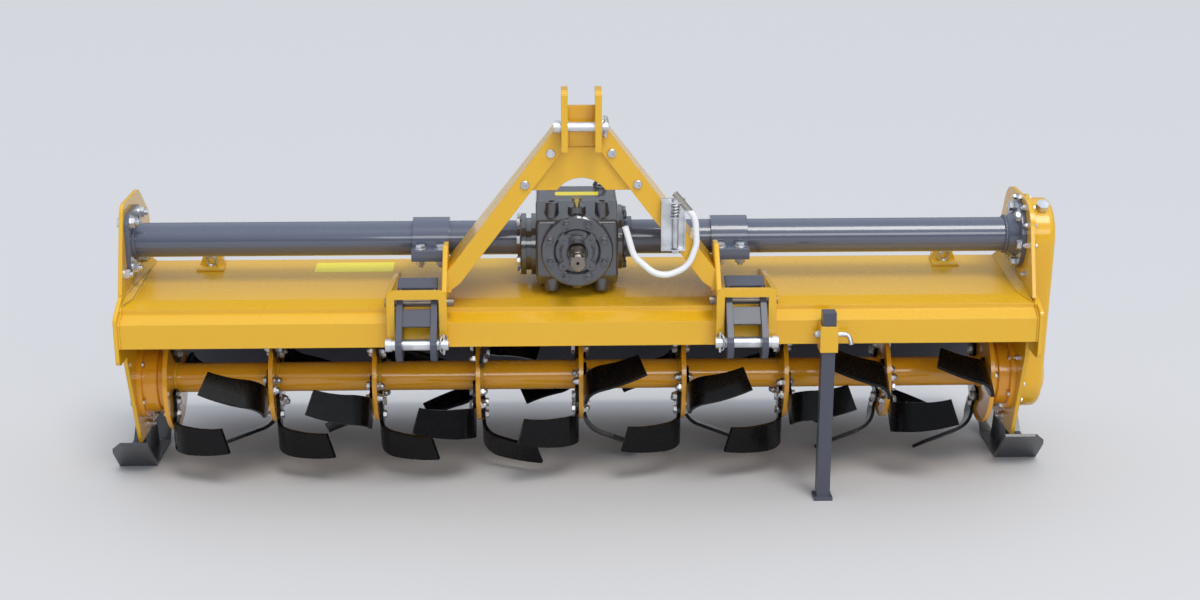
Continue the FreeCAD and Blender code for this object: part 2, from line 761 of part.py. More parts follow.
def make_front_cover():
    centre = Vector(s.gearbox_x, s.cover_face_y, s.tube_z)
    thick = s.cover_thickness
    disc = turned(
        [
            (thick, 0),
            (thick, s.cover_radius),
            (12, s.cover_radius),
            (9, s.cover_radius - 4),
            (9, s.cover_radius - 32),
            (15, s.cover_radius - 38),
            (15, 0),
        ],
        "Y",
        centre,
    )
    nose = turned([(16, 0), (16, 45), (3, 42), (3, 33), (-2, 31), (-2, 0)], "Y", centre)
    pieces = [nose]
    for turn in range(4):
        # Four lobes that make the raised cross of the cover.
        lobe = flat_plate(
            [Vector(x, 0, z) for x, z in ((-24, 30), (-14, 48), (-10, 62), (10, 62), (14, 48), (24, 30))],
            Vector(0, 12, 0),
        )
        lobe.translate(centre + Vector(0, 4, 0))
        lobe.rotate(centre, Vector(0, 1, 0), 45 + 90 * turn)
        pieces.append(lobe)
    for turn in range(8):
        # Faced seats of the eight cover bolts.
        lug = Part.makeCylinder(13, 6, centre + Vector(0, 6, s.cover_radius - 18), Vector(0, 1, 0))
        lug.rotate(centre, Vector(0, 1, 0), 22.5 + 45 * turn)
        pieces.append(lug)
    bore = Part.makeCylinder(
        s.shaft_radius + s.running_gap, thick + 40, centre - Vector(0, 20, 0), Vector(0, 1, 0)
    )
    recess = Part.makeCylinder(s.shaft_radius + 5, 12, centre - Vector(0, 5, 0), Vector(0, 1, 0))
    shaped("gearbox_front_cover", disc.multiFuse(pieces).cut(bore.fuse(recess)).removeSplitter())


make_front_cover()


def make_input_shaft():
    start = s.cover_face_y + s.cover_thickness + 20
    length = start - s.shaft_end_y
    at = Vector(s.gearbox_x, s.shaft_end_y, s.tube_z)
    reach = s.shaft_radius
    splined = s.cover_face_y - 12 - s.shaft_end_y
    core = Part.makeCylinder(s.shaft_root_radius, length, at, Vector(0, 1, 0)).fuse(
        Part.makeCylinder(reach, length - splined, at + Vector(0, splined, 0), Vector(0, 1, 0))
    )
    splines = []
    for turn in range(6):
        spline = Part.makeBox(13, splined, reach, at - Vector(6.5, 0, 0))
        spline.rotate(at, Vector(0, 1, 0), 60 * turn)
        splines.append(spline)
    shaft = core.multiFuse(splines)
    # Rounded end face with a centre hole.
    rounding = turned([(0, 4), (0, reach - 4), (4, reach), (length, reach), (length, 0), (9, 0)], "Y", at)
    groove = Part.makeTorus(reach + 1, 4.5, at + Vector(0, 26, 0), Vector(0, 1, 0))
    shaped("pto_shaft", shaft.common(rounding).cut(groove).removeSplitter())


make_input_shaft()

# Tube clamps: a saddle over the tube with a bolted foot, one above each hitch bracket.

for side, start in (("left", "-clamp_inner_x - clamp_width"), ("right", "clamp_inner_x")):
    saddle = cut(
        fused(
            [
                rod("X", "tube_radius + clamp_wall", "clamp_width", (start, "tube_y", "tube_z")),
                block(
                    "clamp_width",
                    "2 * (tube_radius + clamp_wall + clamp_foot)",
                    "2 * clamp_foot_thickness",
                    (
                        start,
                        "tube_y - tube_radius - clamp_wall - clamp_foot",
                        "tube_z - 8 - 2 * clamp_foot_thickness",
                    ),
                ),
            ]
        ),
        [rod("X", "tube_radius", "clamp_width", (start, "tube_y", "tube_z"))],
    )
    keep(saddle, "tube_clamp_" + side)

# Hitch brackets: a front plate with a window for the lower link, and two cheeks
# that stand on the deck. The inner cheek reaches up to the tube clamp.


def make_hitch_bracket(side, middle, inward):
    """inward is +1 where the machine's middle lies towards +X."""
    body = new_body("hitch_bracket_" + side)
    inner_half = "(link_half + 4)"
    add_pad(
        body,
        "XZ",
        "arch_y",
        "arch_thickness",
        [
            (f"{middle} - arch_half", "beam_low_z + 4"),
            (f"{middle} - arch_half", "arch_top_z"),
            (f"{middle} + arch_half", "arch_top_z"),
            (f"{middle} + arch_half", "beam_low_z + 4"),
            (f"{middle} + {inner_half}", "beam_low_z + 4"),
            (f"{middle} + {inner_half}", "arch_window_z"),
            (f"{middle} - {inner_half}", "arch_window_z"),
            (f"{middle} - {inner_half}", "beam_low_z + 4"),
        ],
    )
    half = s.arch_half
    centre_x = s.hitch_x if inward < 0 else -s.hitch_x
    round_corners(
        body,
        "Y",
        [(centre_x - half, 0, s.arch_top_z), (centre_x + half, 0, s.arch_top_z)],
        20,
    )
    profile = [
        ("arch_y + arch_thickness / 2", "beam_low_z + 4"),
        ("beam_front_y", "beam_low_z + 4"),
        ("beam_front_y", "beam_edge_z"),
        ("beam_front_y + nose_run", "nose_z"),
        ("beam_front_y + nose_run", "nose_z + step_rise"),
        ("sheet_front_y", "sheet_front_z"),
    ]
    inner_top = [
        (
            "tube_y - tube_radius - clamp_wall",
            "sheet_front_z + (deck_rear_z - sheet_front_z)"
            " * (tube_y - tube_radius - clamp_wall - sheet_front_y) / (deck_rear_y - sheet_front_y)",
        ),
        ("tube_y - tube_radius - clamp_wall", "tube_z - 8 - 2 * clamp_foot_thickness"),
        ("tube_y - tube_radius - clamp_wall - clamp_foot", "tube_z - 8 - 2 * clamp_foot_thickness"),
        ("arch_y + arch_thickness / 2", "arch_top_z - 20"),
    ]
    outer_top = [
        ("sheet_front_y", "sheet_front_z + 6"),
        ("beam_front_y + 6", "arch_top_z - 20"),
        ("arch_y + arch_thickness / 2", "arch_top_z - 20"),
    ]
    left_start = f"{middle} - arch_half"
    right_start = f"{middle} + arch_half - arch_thickness"
    inner_start, outer_start = (
        (right_start, left_start) if inward > 0 else (left_start, right_start)
    )
    pivot = [("pivot_y", "pivot_z", "pivot_radius")]
    add_pad(body, "YZ", inner_start, "arch_thickness", profile + inner_top, pivot)
    add_pad(body, "YZ", outer_start, "arch_thickness", profile + outer_top, pivot)
    return keep(body, "hitch_bracket_" + side)


brackets = [
    make_hitch_bracket("left", "-hitch_x", 1),
    make_hitch_bracket("right", "hitch_x", -1),
]

# Lower links: two cheeks and a cross plate, hung on a pivot bar behind the front plate,
# with the hitch pin through their lower ends.


def make_lower_link(side, middle):
    pivot = Vector(middle, s.pivot_y, s.pivot_z)
    pin = Vector(middle, s.pin_y, s.pin_z)
    out = Vector(1, 0, 0)
    cheeks = [
        belt(pivot + out * start, pin + out * start, s.link_top_radius, s.link_radius, out, s.link_cheek)
        for start in (-s.link_half, s.link_half - s.link_cheek)
    ]
    # The cross plate joins the cheeks just inside their front edges.
    down = (pin - pivot).normalize()
    front = down.cross(out)
    edge = pivot + down * 22 + front * (s.link_top_radius - 2)
    across = 2 * s.link_half - s.link_cheek
    cross = flat_plate(
        [edge, edge + down * 46 + front * 9, edge + down * 46 - front * 3, edge - front * 12],
        out * across,
    )
    cross.translate(out * (-across / 2))
    link = cheeks[0].multiFuse([cheeks[1], cross])
    bores = [
        Part.makeCylinder(radius, 4 * s.link_half, centre - out * (2 * s.link_half), out)
        for centre, radius in (
            (pivot, s.pivot_radius + s.running_gap),
            (pin, s.pin_radius + s.running_gap),
        )
    ]
    shaped("lower_link_" + side, link.cut(bores[0]).cut(bores[1]))


for side, sign, middle in (("left", -1, "-hitch_x"), ("right", 1, "hitch_x")):
    make_lower_link(side, sign * s.hitch_x)
    keep(
        rod(
            "X",
            "pivot_radius",
            "2 * arch_half + 22",
            (f"{middle} - arch_half" + (" - 16" if sign > 0 else " - 6"), "pivot_y", "pivot_z"),
        ),
        "link_pivot_" + side,
    )
    head_start = f"{middle} - pin_half" if sign < 0 else f"{middle} + pin_half - 16"
    keep(
        fused(
            [
                rod("X", "pin_radius", "2 * pin_half", (f"{middle} - pin_half", "pin_y", "pin_z")),
                rod("X", "pin_radius + 3", "16", (head_start, "pin_y", "pin_z")),
            ]
        ),
        "lower_pin_" + side,
    )

# Mast: two bent legs, a front gusset between them and a head with two ears
# for the top link's pin.


def make_leg(side, sign):
    """Front face on the mast's plane, and a side that deepens towards the foot."""
    y = s.mast_y
    top = Vector(sign * s.leg_top_x, y, s.leg_top_z)
    low = Vector(sign * s.leg_low_x, y, s.leg_low_z)
    run = (low - top).normalize()
    inward = Vector(-sign * abs(run.z), 0, -abs(run.x))
    tip = Vector(low.x, y, s.leg_tip_z)
    face = flat_plate(
        [top, low, tip, tip + Vector(-sign * 32, 0, 24), top + inward * s.leg_face],
        Vector(0, s.leg_wall, 0),
    )
    back_top = Vector(0, s.leg_top_depth, 0)
    back_low = Vector(0, s.leg_low_depth, 0)
    slope = flat_plate([top, low, low + back_low, top + back_top], inward * s.leg_wall)
    foot = flat_plate(
        [low, tip, low + back_low],
        Vector(-sign * s.leg_wall, 0, 0),
    )
    head = s.ear_gap / 2 + s.ear_thickness
    clear = Part.makeBox(2 * head, 400, 200, Vector(-head, y - 200, s.top_pin_z - s.ear_low_drop))
    leg = face.multiFuse([slope, foot]).cut(clear).removeSplitter()
    shaped("mast_leg_" + side, leg)


make_leg("left", -1)
make_leg("right", 1)

def make_mast_head():
    body = new_body("mast_head")
    back = "mast_y + 24"
    ear = [
        ("top_pin_y - ear_reach", "top_pin_z - ear_low_drop"),
        ("top_pin_y - ear_reach", "top_pin_z + ear_top_rise"),
        (back, "top_pin_z + ear_top_rise"),
        (back, "top_pin_z - ear_low_drop"),
    ]
    bore = [("top_pin_y", "top_pin_z", "top_pin_radius")]
    add_pad(
        body,
        "XZ",
        back + " - leg_wall",
        "leg_wall",
        [
            ("-ear_gap / 2 - 4", "gusset_top_z"),
            ("-ear_gap / 2 - 4", "top_pin_z + 46"),
            ("ear_gap / 2 + 4", "top_pin_z + 46"),
            ("ear_gap / 2 + 4", "gusset_top_z"),
        ],
    )
    add_pad(body, "YZ", "-ear_gap / 2 - ear_thickness", "ear_thickness", ear, bore)
    add_pad(body, "YZ", "ear_gap / 2", "ear_thickness", ear, bore)
    keep(body, "mast_head")
    round_corners(
        body,
        "X",
        [(0, s.top_pin_y - s.ear_reach, s.top_pin_z + s.ear_top_rise), (0, s.mast_y + 24, s.top_pin_z + s.ear_top_rise)],
        13,
    )


make_mast_head()


def make_mast_gusset():
    """A trapezoid behind the legs' faces, with a round cut-out in its lower edge."""

    def leg_x(z):
        share = (s.leg_top_z - z) / (s.leg_top_z - s.leg_low_z)
        return s.leg_top_x + share * (s.leg_low_x - s.leg_top_x)

    y = s.mast_y + s.leg_wall
    # The legs' side plates, measured level, are thicker by this slant.
    rise = s.leg_top_z - s.leg_low_z
    inset = 1 + s.leg_wall * math.hypot(rise, s.leg_low_x - s.leg_top_x) / rise
    high, low = s.gusset_top_z, s.gusset_low_z
    plate_shape = flat_plate(
        [
            Vector(-leg_x(high) + inset, y, high),
            Vector(leg_x(high) - inset, y, high),
            Vector(leg_x(low) - inset, y, low),
            Vector(-leg_x(low) + inset, y, low),
        ],
        Vector(0, s.leg_wall, 0),
    )
    centre = Vector(0, y - 5, low + s.gusset_arch_rise - s.gusset_arch_radius)
    arch = Part.makeCylinder(s.gusset_arch_radius, 30, centre, Vector(0, 1, 0))
    shaped("mast_gusset", plate_shape.cut(arch))


make_mast_gusset()

keep(
    fused(
        [
            rod(
                "X",
                "top_pin_radius",
                "ear_gap + 2 * ear_thickness + 34",
                ("-ear_gap / 2 - ear_thickness - 18", "top_pin_y", "top_pin_z"),
            ),
            rod(
                "X",
                "top_pin_radius + 3",
                "16",
                ("-ear_gap / 2 - ear_thickness - 18", "top_pin_y", "top_pin_z"),
            ),
        ]
    ),
    "top_pin",
)

# Drive shaft rest: a zinc plate on the right leg and a bent, coated rod.


def bent_rod(points, radius, fillet):
    """A round rod along straight runs joined by arcs."""
    edges = []
    last = points[0]
    for before, here, after in zip(points, points[1:], points[2:]):
        come = (here - before).normalize()
        go = (after - here).normalize()
        turn = come.getAngle(go)
        trim = fillet * math.tan(turn / 2)
        start = here - come * trim
        end = here + go * trim
        middle = here + (go - come).normalize() * (fillet / math.cos(turn / 2) - fillet)
        edges.append(Part.LineSegment(last, start).toShape())
        edges.append(Part.Arc(start, middle, end).toShape())
        last = end
    edges.append(Part.LineSegment(last, points[-1]).toShape())
    wire = Part.Wire(edges)
    section = Part.Wire([Part.Circle(points[0], points[1] - points[0], radius).toShape()])
    return wire.makePipeShell([section], True, False)


keep(
    block("60", "8", "130", ("197", "mast_y - 8", "661")),
    "rest_plate",
)
rest_points = [
    Vector(x, s.rest_y, z)
    for x, z in ((108, 722), (130, 646), (196, 588), (266, 618), (286, 676), (282, 744), (230, 806))
]
shaped("rest_rod", bent_rod(rest_points, s.rest_rod_radius, 60))

# Parking stand: a square leg that slides in a socket on the beam, held by a pin.

outer_side = "stand_side + 2 * socket_gap + 2 * socket_wall"
inner_side = "stand_side + 2 * socket_gap"
keep(
    cut(
        block(
            outer_side,
            f"beam_front_y - stand_y + ({outer_side}) / 2",
            "socket_top_z - socket_low_z",
            (
                f"stand_x - ({outer_side}) / 2",
                f"stand_y - ({outer_side}) / 2",
                "socket_low_z",
            ),
        ),
        [
            block(
                inner_side,
                inner_side,
                "socket_top_z - socket_low_z",
                (
                    f"stand_x - ({inner_side}) / 2",
                    f"stand_y - ({inner_side}) / 2",
                    "socket_low_z",
                ),
            )
        ],
    ),
    "stand_socket",
)
keep(
    fused(
        [
            block(
                "stand_side",
                "stand_side",
                "stand_top_z - stand_foot_thickness",
                (
                    "stand_x - stand_side / 2",
                    "stand_y - stand_side / 2",
                    "stand_foot_thickness",
                ),
            ),
            block(
                "stand_foot_side",
                "stand_foot_side",
                "stand_foot_thickness",
                ("stand_x - stand_foot_side / 2", "stand_y - stand_foot_side / 2", "0"),
            ),
        ]
    ),
    "stand_leg",
)
pin_reach = f"({outer_side}) / 2"
keep(
    fused(
        [
            rod(
                "X",
                "stand_pin_radius",
                "14",
                (f"stand_x + {pin_reach} - socket_wall + 14", "stand_y", "stand_pin_z"),
            ),
            rod(
                "X",
                "stand_pin_radius",
                "14",
                (f"stand_x + {pin_reach}", "stand_y", "stand_pin_z"),
            ),
        ]
    ),
    "stand_pin",
)

# Skids: a bent runner plate under each side plate, with an upright bolted to it.


def make_skid(side, sign):
    body = new_body("skid_" + side)
    width = f"skid_{side}_width"
    start = (
        "right_plate_x - skid_inset" if sign > 0 else f"left_plate_x + skid_inset - {width}"
    )
    slant = "skid_wall * 0.4142"
    add_pad(
        body,
        "YZ",
        start,
        width,
        [
            ("skid_front_y", "0"),
            ("skid_rear_y", "0"),
            ("skid_rear_y + skid_tail", "skid_tail"),
            ("skid_rear_y + skid_tail - skid_wall * 0.707", "skid_tail + skid_wall * 0.707"),
            (f"skid_rear_y - {slant}", "skid_wall"),
            (f"skid_front_y + {slant}", "skid_wall"),
            ("skid_front_y - skid_rise + skid_wall * 0.707", "skid_rise + skid_wall * 0.707"),
            ("skid_front_y - skid_rise", "skid_rise"),
        ],
    )
    outer = f"{start} + {width}" if sign > 0 else start
    toe = "skid_front_y - skid_rise"
    back = "- 34" if sign > 0 else "+ 34"
    cut_pocket(
        body,
        "XY",
        "skid_wall",
        "skid_rise + 20",
        [(f"{outer} {back}", toe), (outer, toe), (outer, toe + " + 34")],
    )
    upright = (
        "right_plate_x + side_plate_thickness"
        if sign > 0
        else "left_plate_x - 2 * side_plate_thickness"
    )
    add_pad(
        body,
        "YZ",
        upright,
        "side_plate_thickness",
        [
            ("skid_front_y + 10", "skid_wall / 2"),
            ("skid_rear_y - 10", "skid_wall / 2"),
            ("skid_rear_y - 40", "136"),
            ("skid_front_y + 10", "136"),
        ],
    )
    keep(body, "skid_" + side)


make_skid("left", -1)
make_skid("right", 1)

# Bearing housings of the rotor, bolted to the side plates.


def make_hub(side, plate_x, inward):
    """Stepped housing from the side plate to just beside the end flange."""
    end = 4 * s.flange_pitch + s.flange_thickness / 2 + s.hub_gap
    length = abs(plate_x) - end
    bore = s.stub_radius + s.running_gap
    foot = s.hub_foot_thickness
    profile = [
        (0, bore),
        (0, s.hub_foot_radius),
        (foot - 2, s.hub_foot_radius),
        (foot, s.hub_foot_radius - 2),
        (foot, s.hub_radius),
        (length * 0.72, s.hub_radius),
        (length * 0.72 + 3, s.hub_radius - 7),
        (length, s.hub_radius - 7),
        (length, bore),
    ]
    profile = [(inward * place, radius) for place, radius in profile]
    shaped("hub_" + side, turned(profile, "X", Vector(plate_x, s.rotor_y, s.rotor_z)))


make_hub("left", s.left_plate_x, 1)
make_hub("right", s.right_plate_x, -1)

# Rotor: a tube with stub shafts, and nine flanges that carry L-shaped tines.


def make_rotor_tube():
    half = "4 * flange_pitch"
    tube = ring(
        "X",
        "rotor_tube_radius",
        "rotor_tube_radius - rotor_tube_wall",
        f"2 * {half} - flange_thickness",
        (f"-{half} + flange_thickness / 2", "rotor_y", "rotor_z"),
    )
    left_reach = f"-left_plate_x - {half} - flange_thickness / 2 - 3"
    right_reach = f"right_plate_x - {half} - flange_thickness / 2 - 3"
    left = rod(
        "X",
        "stub_radius",
        left_reach + " + 40",
        ("left_plate_x + 3", "rotor_y", "rotor_z"),
    )
    right = rod(
        "X",
        "stub_radius",
        right_reach + " + 40",
        (f"{half} + flange_thickness / 2 - 40", "rotor_y", "rotor_z"),
    )
    plugs = [
        rod(
            "X",
            "rotor_tube_radius - rotor_tube_wall + 0.5",
            "30",
            (start, "rotor_y", "rotor_z"),
        )
        for start in (
            f"-{half} + flange_thickness / 2",
            f"{half} - flange_thickness / 2 - 30",
        )
    ]
    keep(fused([tube, left, right] + plugs), "rotor_tube")


make_rotor_tube()


def tine(side):
    """A tine as it lies when the middle of its blade is straight above the axis.

    It is drawn with its blade level: the cutting edge leads towards -Y, the blade
    reaches towards side * X, and the shank leans back down to the axis.
    """
    thick, bend, width = s.tine_thickness, s.tine_bend_radius, s.tine_blade_width
    turn = math.radians(s.tine_bend_turn)
    ahead = Vector(math.sin(turn), 0, math.cos(turn))
    upward = Vector(-math.cos(turn), 0, math.sin(turn))
    corner_x = thick + bend
    length = (s.tine_blade_length - corner_x + bend * math.cos(turn)) / ahead.x

    # Height of the blade's outer face, from the reach of its cutting edge.
    lean = math.tan(math.radians(s.tine_blade_set))
    a, b, c = 1 + lean * lean, width * lean, width * width / 4 - s.tine_reach**2
    face = (-b + math.sqrt(b * b - 4 * a * c)) / (2 * a)
    lead = -(width / 2 + face * lean)
    rear = lead + width
    bend_z = face - (bend + thick) * upward.z - length / 2 * ahead.z

    # Shank: a flat bar with curved edges that widens towards the bend.
    middle = Vector(0, (lead + rear) / 2, bend_z)
    root = Vector(0, -0.42, 0.907) * s.tine_root_radius
    run = (middle - root).normalize()
    side_way = Vector(0, run.z, -run.y) * (s.tine_shank_width / 2)
    heel, toe = root + side_way, root - side_way
    rear_end, lead_end = Vector(0, rear, bend_z), Vector(0, lead, bend_z)
    hollow = (heel + rear_end) / 2 + Vector(0, run.z, -run.y) * -7
    bulge = (toe + lead_end) / 2 - Vector(0, run.z, -run.y) * 9
    outline = [
        Part.Arc(heel, hollow, rear_end).toShape(),
        Part.LineSegment(rear_end, lead_end).toShape(),
        Part.Arc(lead_end, bulge, toe).toShape(),
        Part.Arc(toe, root - run * 16, heel).toShape(),
    ]
    shank = Part.Face(Part.Wire(outline)).extrude(Vector(thick, 0, 0))

    # Bend: part of a thick tube, turned from the shank to the blade.
    corner = Vector(corner_x, 0, bend_z)
    halfway = Vector(-math.cos(turn / 2), 0, math.sin(turn / 2))
    start = Vector(-1, 0, 0)
    outer = bend + thick
    section = [
        Part.Arc(corner + start * outer, corner + halfway * outer, corner + upward * outer).toShape(),
        Part.LineSegment(corner + upward * outer, corner + upward * bend).toShape(),
        Part.Arc(corner + upward * bend, corner + halfway * bend, corner + start * bend).toShape(),
        Part.LineSegment(corner + start * bend, corner + start * outer).toShape(),
    ]
    curve = Part.Face(Part.Wire(section)).extrude(Vector(0, width, 0))
    curve.translate(Vector(0, lead, 0))

    # Blade: its cutting edge curves back, and its tip is narrower and cut at a slant.
    slant, sweep, taper = s.tine_blade_slant, s.tine_blade_sweep, s.tine_blade_taper / 2
    level = corner + upward * bend
    start_lead, start_rear = level + Vector(0, lead, 0), level + Vector(0, rear, 0)
    tip_lead = start_lead + ahead * (length + slant) + Vector(0, sweep + taper, 0)
    tip_rear = start_rear + ahead * (length - slant) + Vector(0, sweep - taper, 0)
    bow = Vector(0, -4, 0)
    edges = [
        Part.Arc(start_lead, (start_lead + tip_lead) / 2 + bow, tip_lead).toShape(),
        Part.LineSegment(tip_lead, tip_rear).toShape(),
        Part.Arc(tip_rear, (start_rear + tip_rear) / 2 + bow, start_rear).toShape(),
        Part.LineSegment(start_rear, start_lead).toShape(),
    ]
    blade = Part.Face(Part.Wire(edges)).extrude(upward * thick)
    shape = shank.multiFuse([curve, blade]).removeSplitter()
    shape.rotate(Vector(), Vector(1, 0, 0), -s.tine_blade_set)
    if side < 0:
        shape = shape.mirror(Vector(), Vector(1, 0, 0))
    return shape


# How far round each flange's first tine stands, in degrees from straight back,
# over the top: first the tines that point right, then those that point left.
FLANGE_TURNS = (
    (217, None),
    (224, 170),
    (229, 184),
    (245, 199),
    (160, 210),
    (170, 219),
    (184, 221),
    (196, 158),
    (None, 157),
)


def make_flange(number, right_turn, left_turn):
    last = number in (1, len(FLANGE_TURNS))
    x = (number - (len(FLANGE_TURNS) + 1) / 2) * s.flange_pitch
    half = s.flange_thickness / 2
    centre = Vector(x, s.rotor_y, s.rotor_z)
    start = centre - Vector(half, 0, 0)
    out = Vector(1, 0, 0)
    disc = Part.makeCylinder(s.end_flange_radius if last else s.flange_radius, 2 * half, start, out)
    bore = Part.makeCylinder(s.stub_radius if last else s.rotor_tube_radius, 2 * half, start, out)
    pieces = []
    for side, turn in ((1, right_turn), (-1, left_turn)):
        for third in range(3 if turn else 0):
            piece = tine(side)
            piece.translate(centre + out * (side * half))
            piece.rotate(centre, out, turn - 90 + 120 * third)
            pieces.append(piece)
    shaped(f"rotor_flange_{number}", disc.cut(bore).multiFuse(pieces).removeSplitter())


for number, (right_turn, left_turn) in enumerate(FLANGE_TURNS, start=1):
    make_flange(number, right_turn, left_turn)

# Trailing board: a sheet hung on a rod behind the deck, held by two chains.

BOARD_KNUCKLES = (-820, -410, 0, 410, 820)
KNUCKLE_LENGTH = 60


class Board:
    """Directions of the board as it hangs: along it, and out of its rear face."""

    hinge = Vector(0, s.board_hinge_y, s.board_hinge_z)
    low = Vector(0, s.board_low_y, s.board_low_z)
    along = (low - hinge).normalize()
    back = Vector(0, -along.z, along.y)
    eye = hinge + along * 300 + back * (s.board_wall + 22)


def lug_pair(middle, foot, bar, width):
    """Two ears that carry a bar for a chain's end link; foot is a line on the carrier."""
    ears = []
    for offset in (-22, 14):
        start, end = (Vector(middle + offset, point.y, point.z) for point in foot)
        centre = Vector(middle + offset, bar.y, bar.z)
        out = (centre - (start + end) / 2).normalize()
        side = (end - start).normalize() * width
        ears.append(
            flat_plate([start, end, centre + side + out * 9, centre - side + out * 9], Vector(8, 0, 0))
        )
    rod_shape = Part.makeCylinder(
        s.lug_bar_radius, 44, Vector(middle - 22, bar.y, bar.z), Vector(1, 0, 0)
    )
    return ears[0].multiFuse([ears[1], rod_shape]).removeSplitter()


def make_board():
    left = s.left_plate_x + s.board_gap
    right = s.right_plate_x - s.board_gap
    wall = Board.back * s.board_wall
    start = Board.hinge + Board.along * 18
    lip = Board.low + Vector(0, 30, -14)
    outline = [start, Board.low, lip, lip + Vector(0, 2, 5), Board.low + wall, start + wall]
    board = flat_plate(outline, Vector(right - left, 0, 0))
    board.translate(Vector(left, 0, 0))
    pieces = []
    for middle in BOARD_KNUCKLES:
        origin = Board.hinge + Vector(middle - KNUCKLE_LENGTH / 2, 0, 0)
        length = Vector(KNUCKLE_LENGTH, 0, 0)
        pieces.append(Part.makeCylinder(12, KNUCKLE_LENGTH, origin, Vector(1, 0, 0)))
        end = origin + Board.along * 40
        pieces.append(flat_plate([origin + wall, end + wall, end, origin], length))
    for sign in (-1, 1):
        seat = Board.eye - Board.back * 22
        foot = [seat - Board.along * 20, seat + Board.along * 20]
        pieces.append(lug_pair(sign * s.lug_x, foot, Board.eye, 8))
    bore = Part.makeCylinder(
        s.board_rod_radius + s.running_gap,
        right - left,
        Board.hinge + Vector(left, 0, 0),
        Vector(1, 0, 0),
    )
    shaped("tail_board", board.multiFuse(pieces).cut(bore).removeSplitter())


make_board()


def make_hinge():
    """The rod, in short brackets on the deck's rear lip."""
    left = s.left_plate_x + s.board_gap + 8
    right = s.right_plate_x - s.board_gap - 8
    rod_shape = Part.makeCylinder(
        s.board_rod_radius, right - left, Board.hinge + Vector(left, 0, 0), Vector(1, 0, 0)
    )
    hinge_brackets = []
    for middle in BOARD_KNUCKLES:
        for side in (-1, 1):
            x = middle + side * (KNUCKLE_LENGTH / 2 + 6) - (0 if side > 0 else 8)
            depth = s.board_hinge_y - s.deck_rear_y + 10
            corner = Vector(x, s.deck_rear_y, s.board_hinge_z - 12)
            hinge_brackets.append(Part.makeBox(8, depth, 24, corner))
    shaped("board_hinge", rod_shape.multiFuse(hinge_brackets).removeSplitter())


make_hinge()

# Chain lugs on the rear of the deck, and the two chains down to the board.


def make_lugs():
    bar = Vector(0, s.lug_y, s.lug_z)
    foot = [deck_top(s.deck_rear_y - 34), deck_top(s.deck_rear_y)]
    lugs = [lug_pair(sign * s.lug_x, foot, bar, 9) for sign in (-1, 1)]
    shaped("chain_lugs", Part.makeCompound(lugs))


make_lugs()


def wire_loop(points, normal, radius, sides=6):
    """A closed loop of straight, flat-sided wire through points on one plane."""
    count = len(points)
    rings = []
    for i, point in enumerate(points):
        before = (point - points[i - 1]).normalize()
        after = (points[(i + 1) % count] - point).normalize()
        out = (before + after).normalize().cross(normal)
        out = out * (radius / math.sqrt((1 + before.dot(after)) / 2))
        turns = [math.tau * (k + 0.5) / sides for k in range(sides)]
        rings.append(
            [point + out * math.cos(a) + normal * (radius * math.sin(a)) for a in turns]
        )
    faces = []
    for i, ring_points in enumerate(rings):
        following = rings[(i + 1) % count]
        for k in range(sides):
            nxt = (k + 1) % sides
            quad = [ring_points[k], ring_points[nxt], following[nxt], following[k]]
            faces.append(Part.Face(Part.makePolygon(quad + quad[:1])))
    solid = Part.Solid(Part.Shell(faces))
    if solid.Volume < 0:
        solid.reverse()
    return solid


def chain_link(centre, along, flat, pitch, arc_steps=4):
    """An oval link of wire; flat is the direction across its opening."""
    radius = s.chain_wire / 2
    half_width = s.chain_wire * 1.2
    half_length = pitch / 2 + radius - half_width
    points = []
    for end in (1, -1):
        for step in range(arc_steps + 1):
            turn = math.pi * step / arc_steps
            points.append(
                centre
                + along * (end * (half_length + half_width * math.sin(turn)))
                + flat * (end * half_width * math.cos(turn))
            )
    return wire_loop(points, along.cross(flat).normalize(), radius)


def make_chains():
    """Both ends of a chain hang round a bar, so the end links lie in the YZ plane."""
    top = Vector(0, s.lug_y, s.lug_z)
    count = int(s.chain_links)
    span = Board.eye - top
    play = 0.8
    pitch = (span.Length + 2 * (s.lug_bar_radius + play)) / count
    along = Vector(span).normalize()
    across = Vector(1, 0, 0)
    for side, sign in (("left", -1), ("right", 1)):
        links = []
        for index in range(count):
            centre = top + along * (pitch * (index + 0.5) - s.lug_bar_radius - play)
            centre.x = sign * s.lug_x
            flat = across if index % 2 else along.cross(across)
            links.append(chain_link(centre, along, flat, pitch + play))
        shaped("tail_chain_" + side, Part.makeCompound(links))


make_chains()

# Everything is checked before anything is written.

doc.recompute()
for feature in doc.Objects:
    if {"Invalid", "Error"} & set(feature.State):
        raise RuntimeError(f"{feature.Label} failed: {feature.State}")
for feature in parts:
    if feature.Shape.isNull() or not feature.Shape.isValid():
        raise RuntimeError(f"{feature.Label} has no valid shape")

os.makedirs("parts", exist_ok=True)
for feature in parts:
    feature.Shape.exportStep(f"parts/{feature.Label}.step")
    print(f"{feature.Label}: {len(feature.Shape.Solids)} solids, {feature.Shape.Volume / 1e6:.3f} l")
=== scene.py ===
import json
import math

import bmesh
import bpy
from mathutils import Matrix, Vector

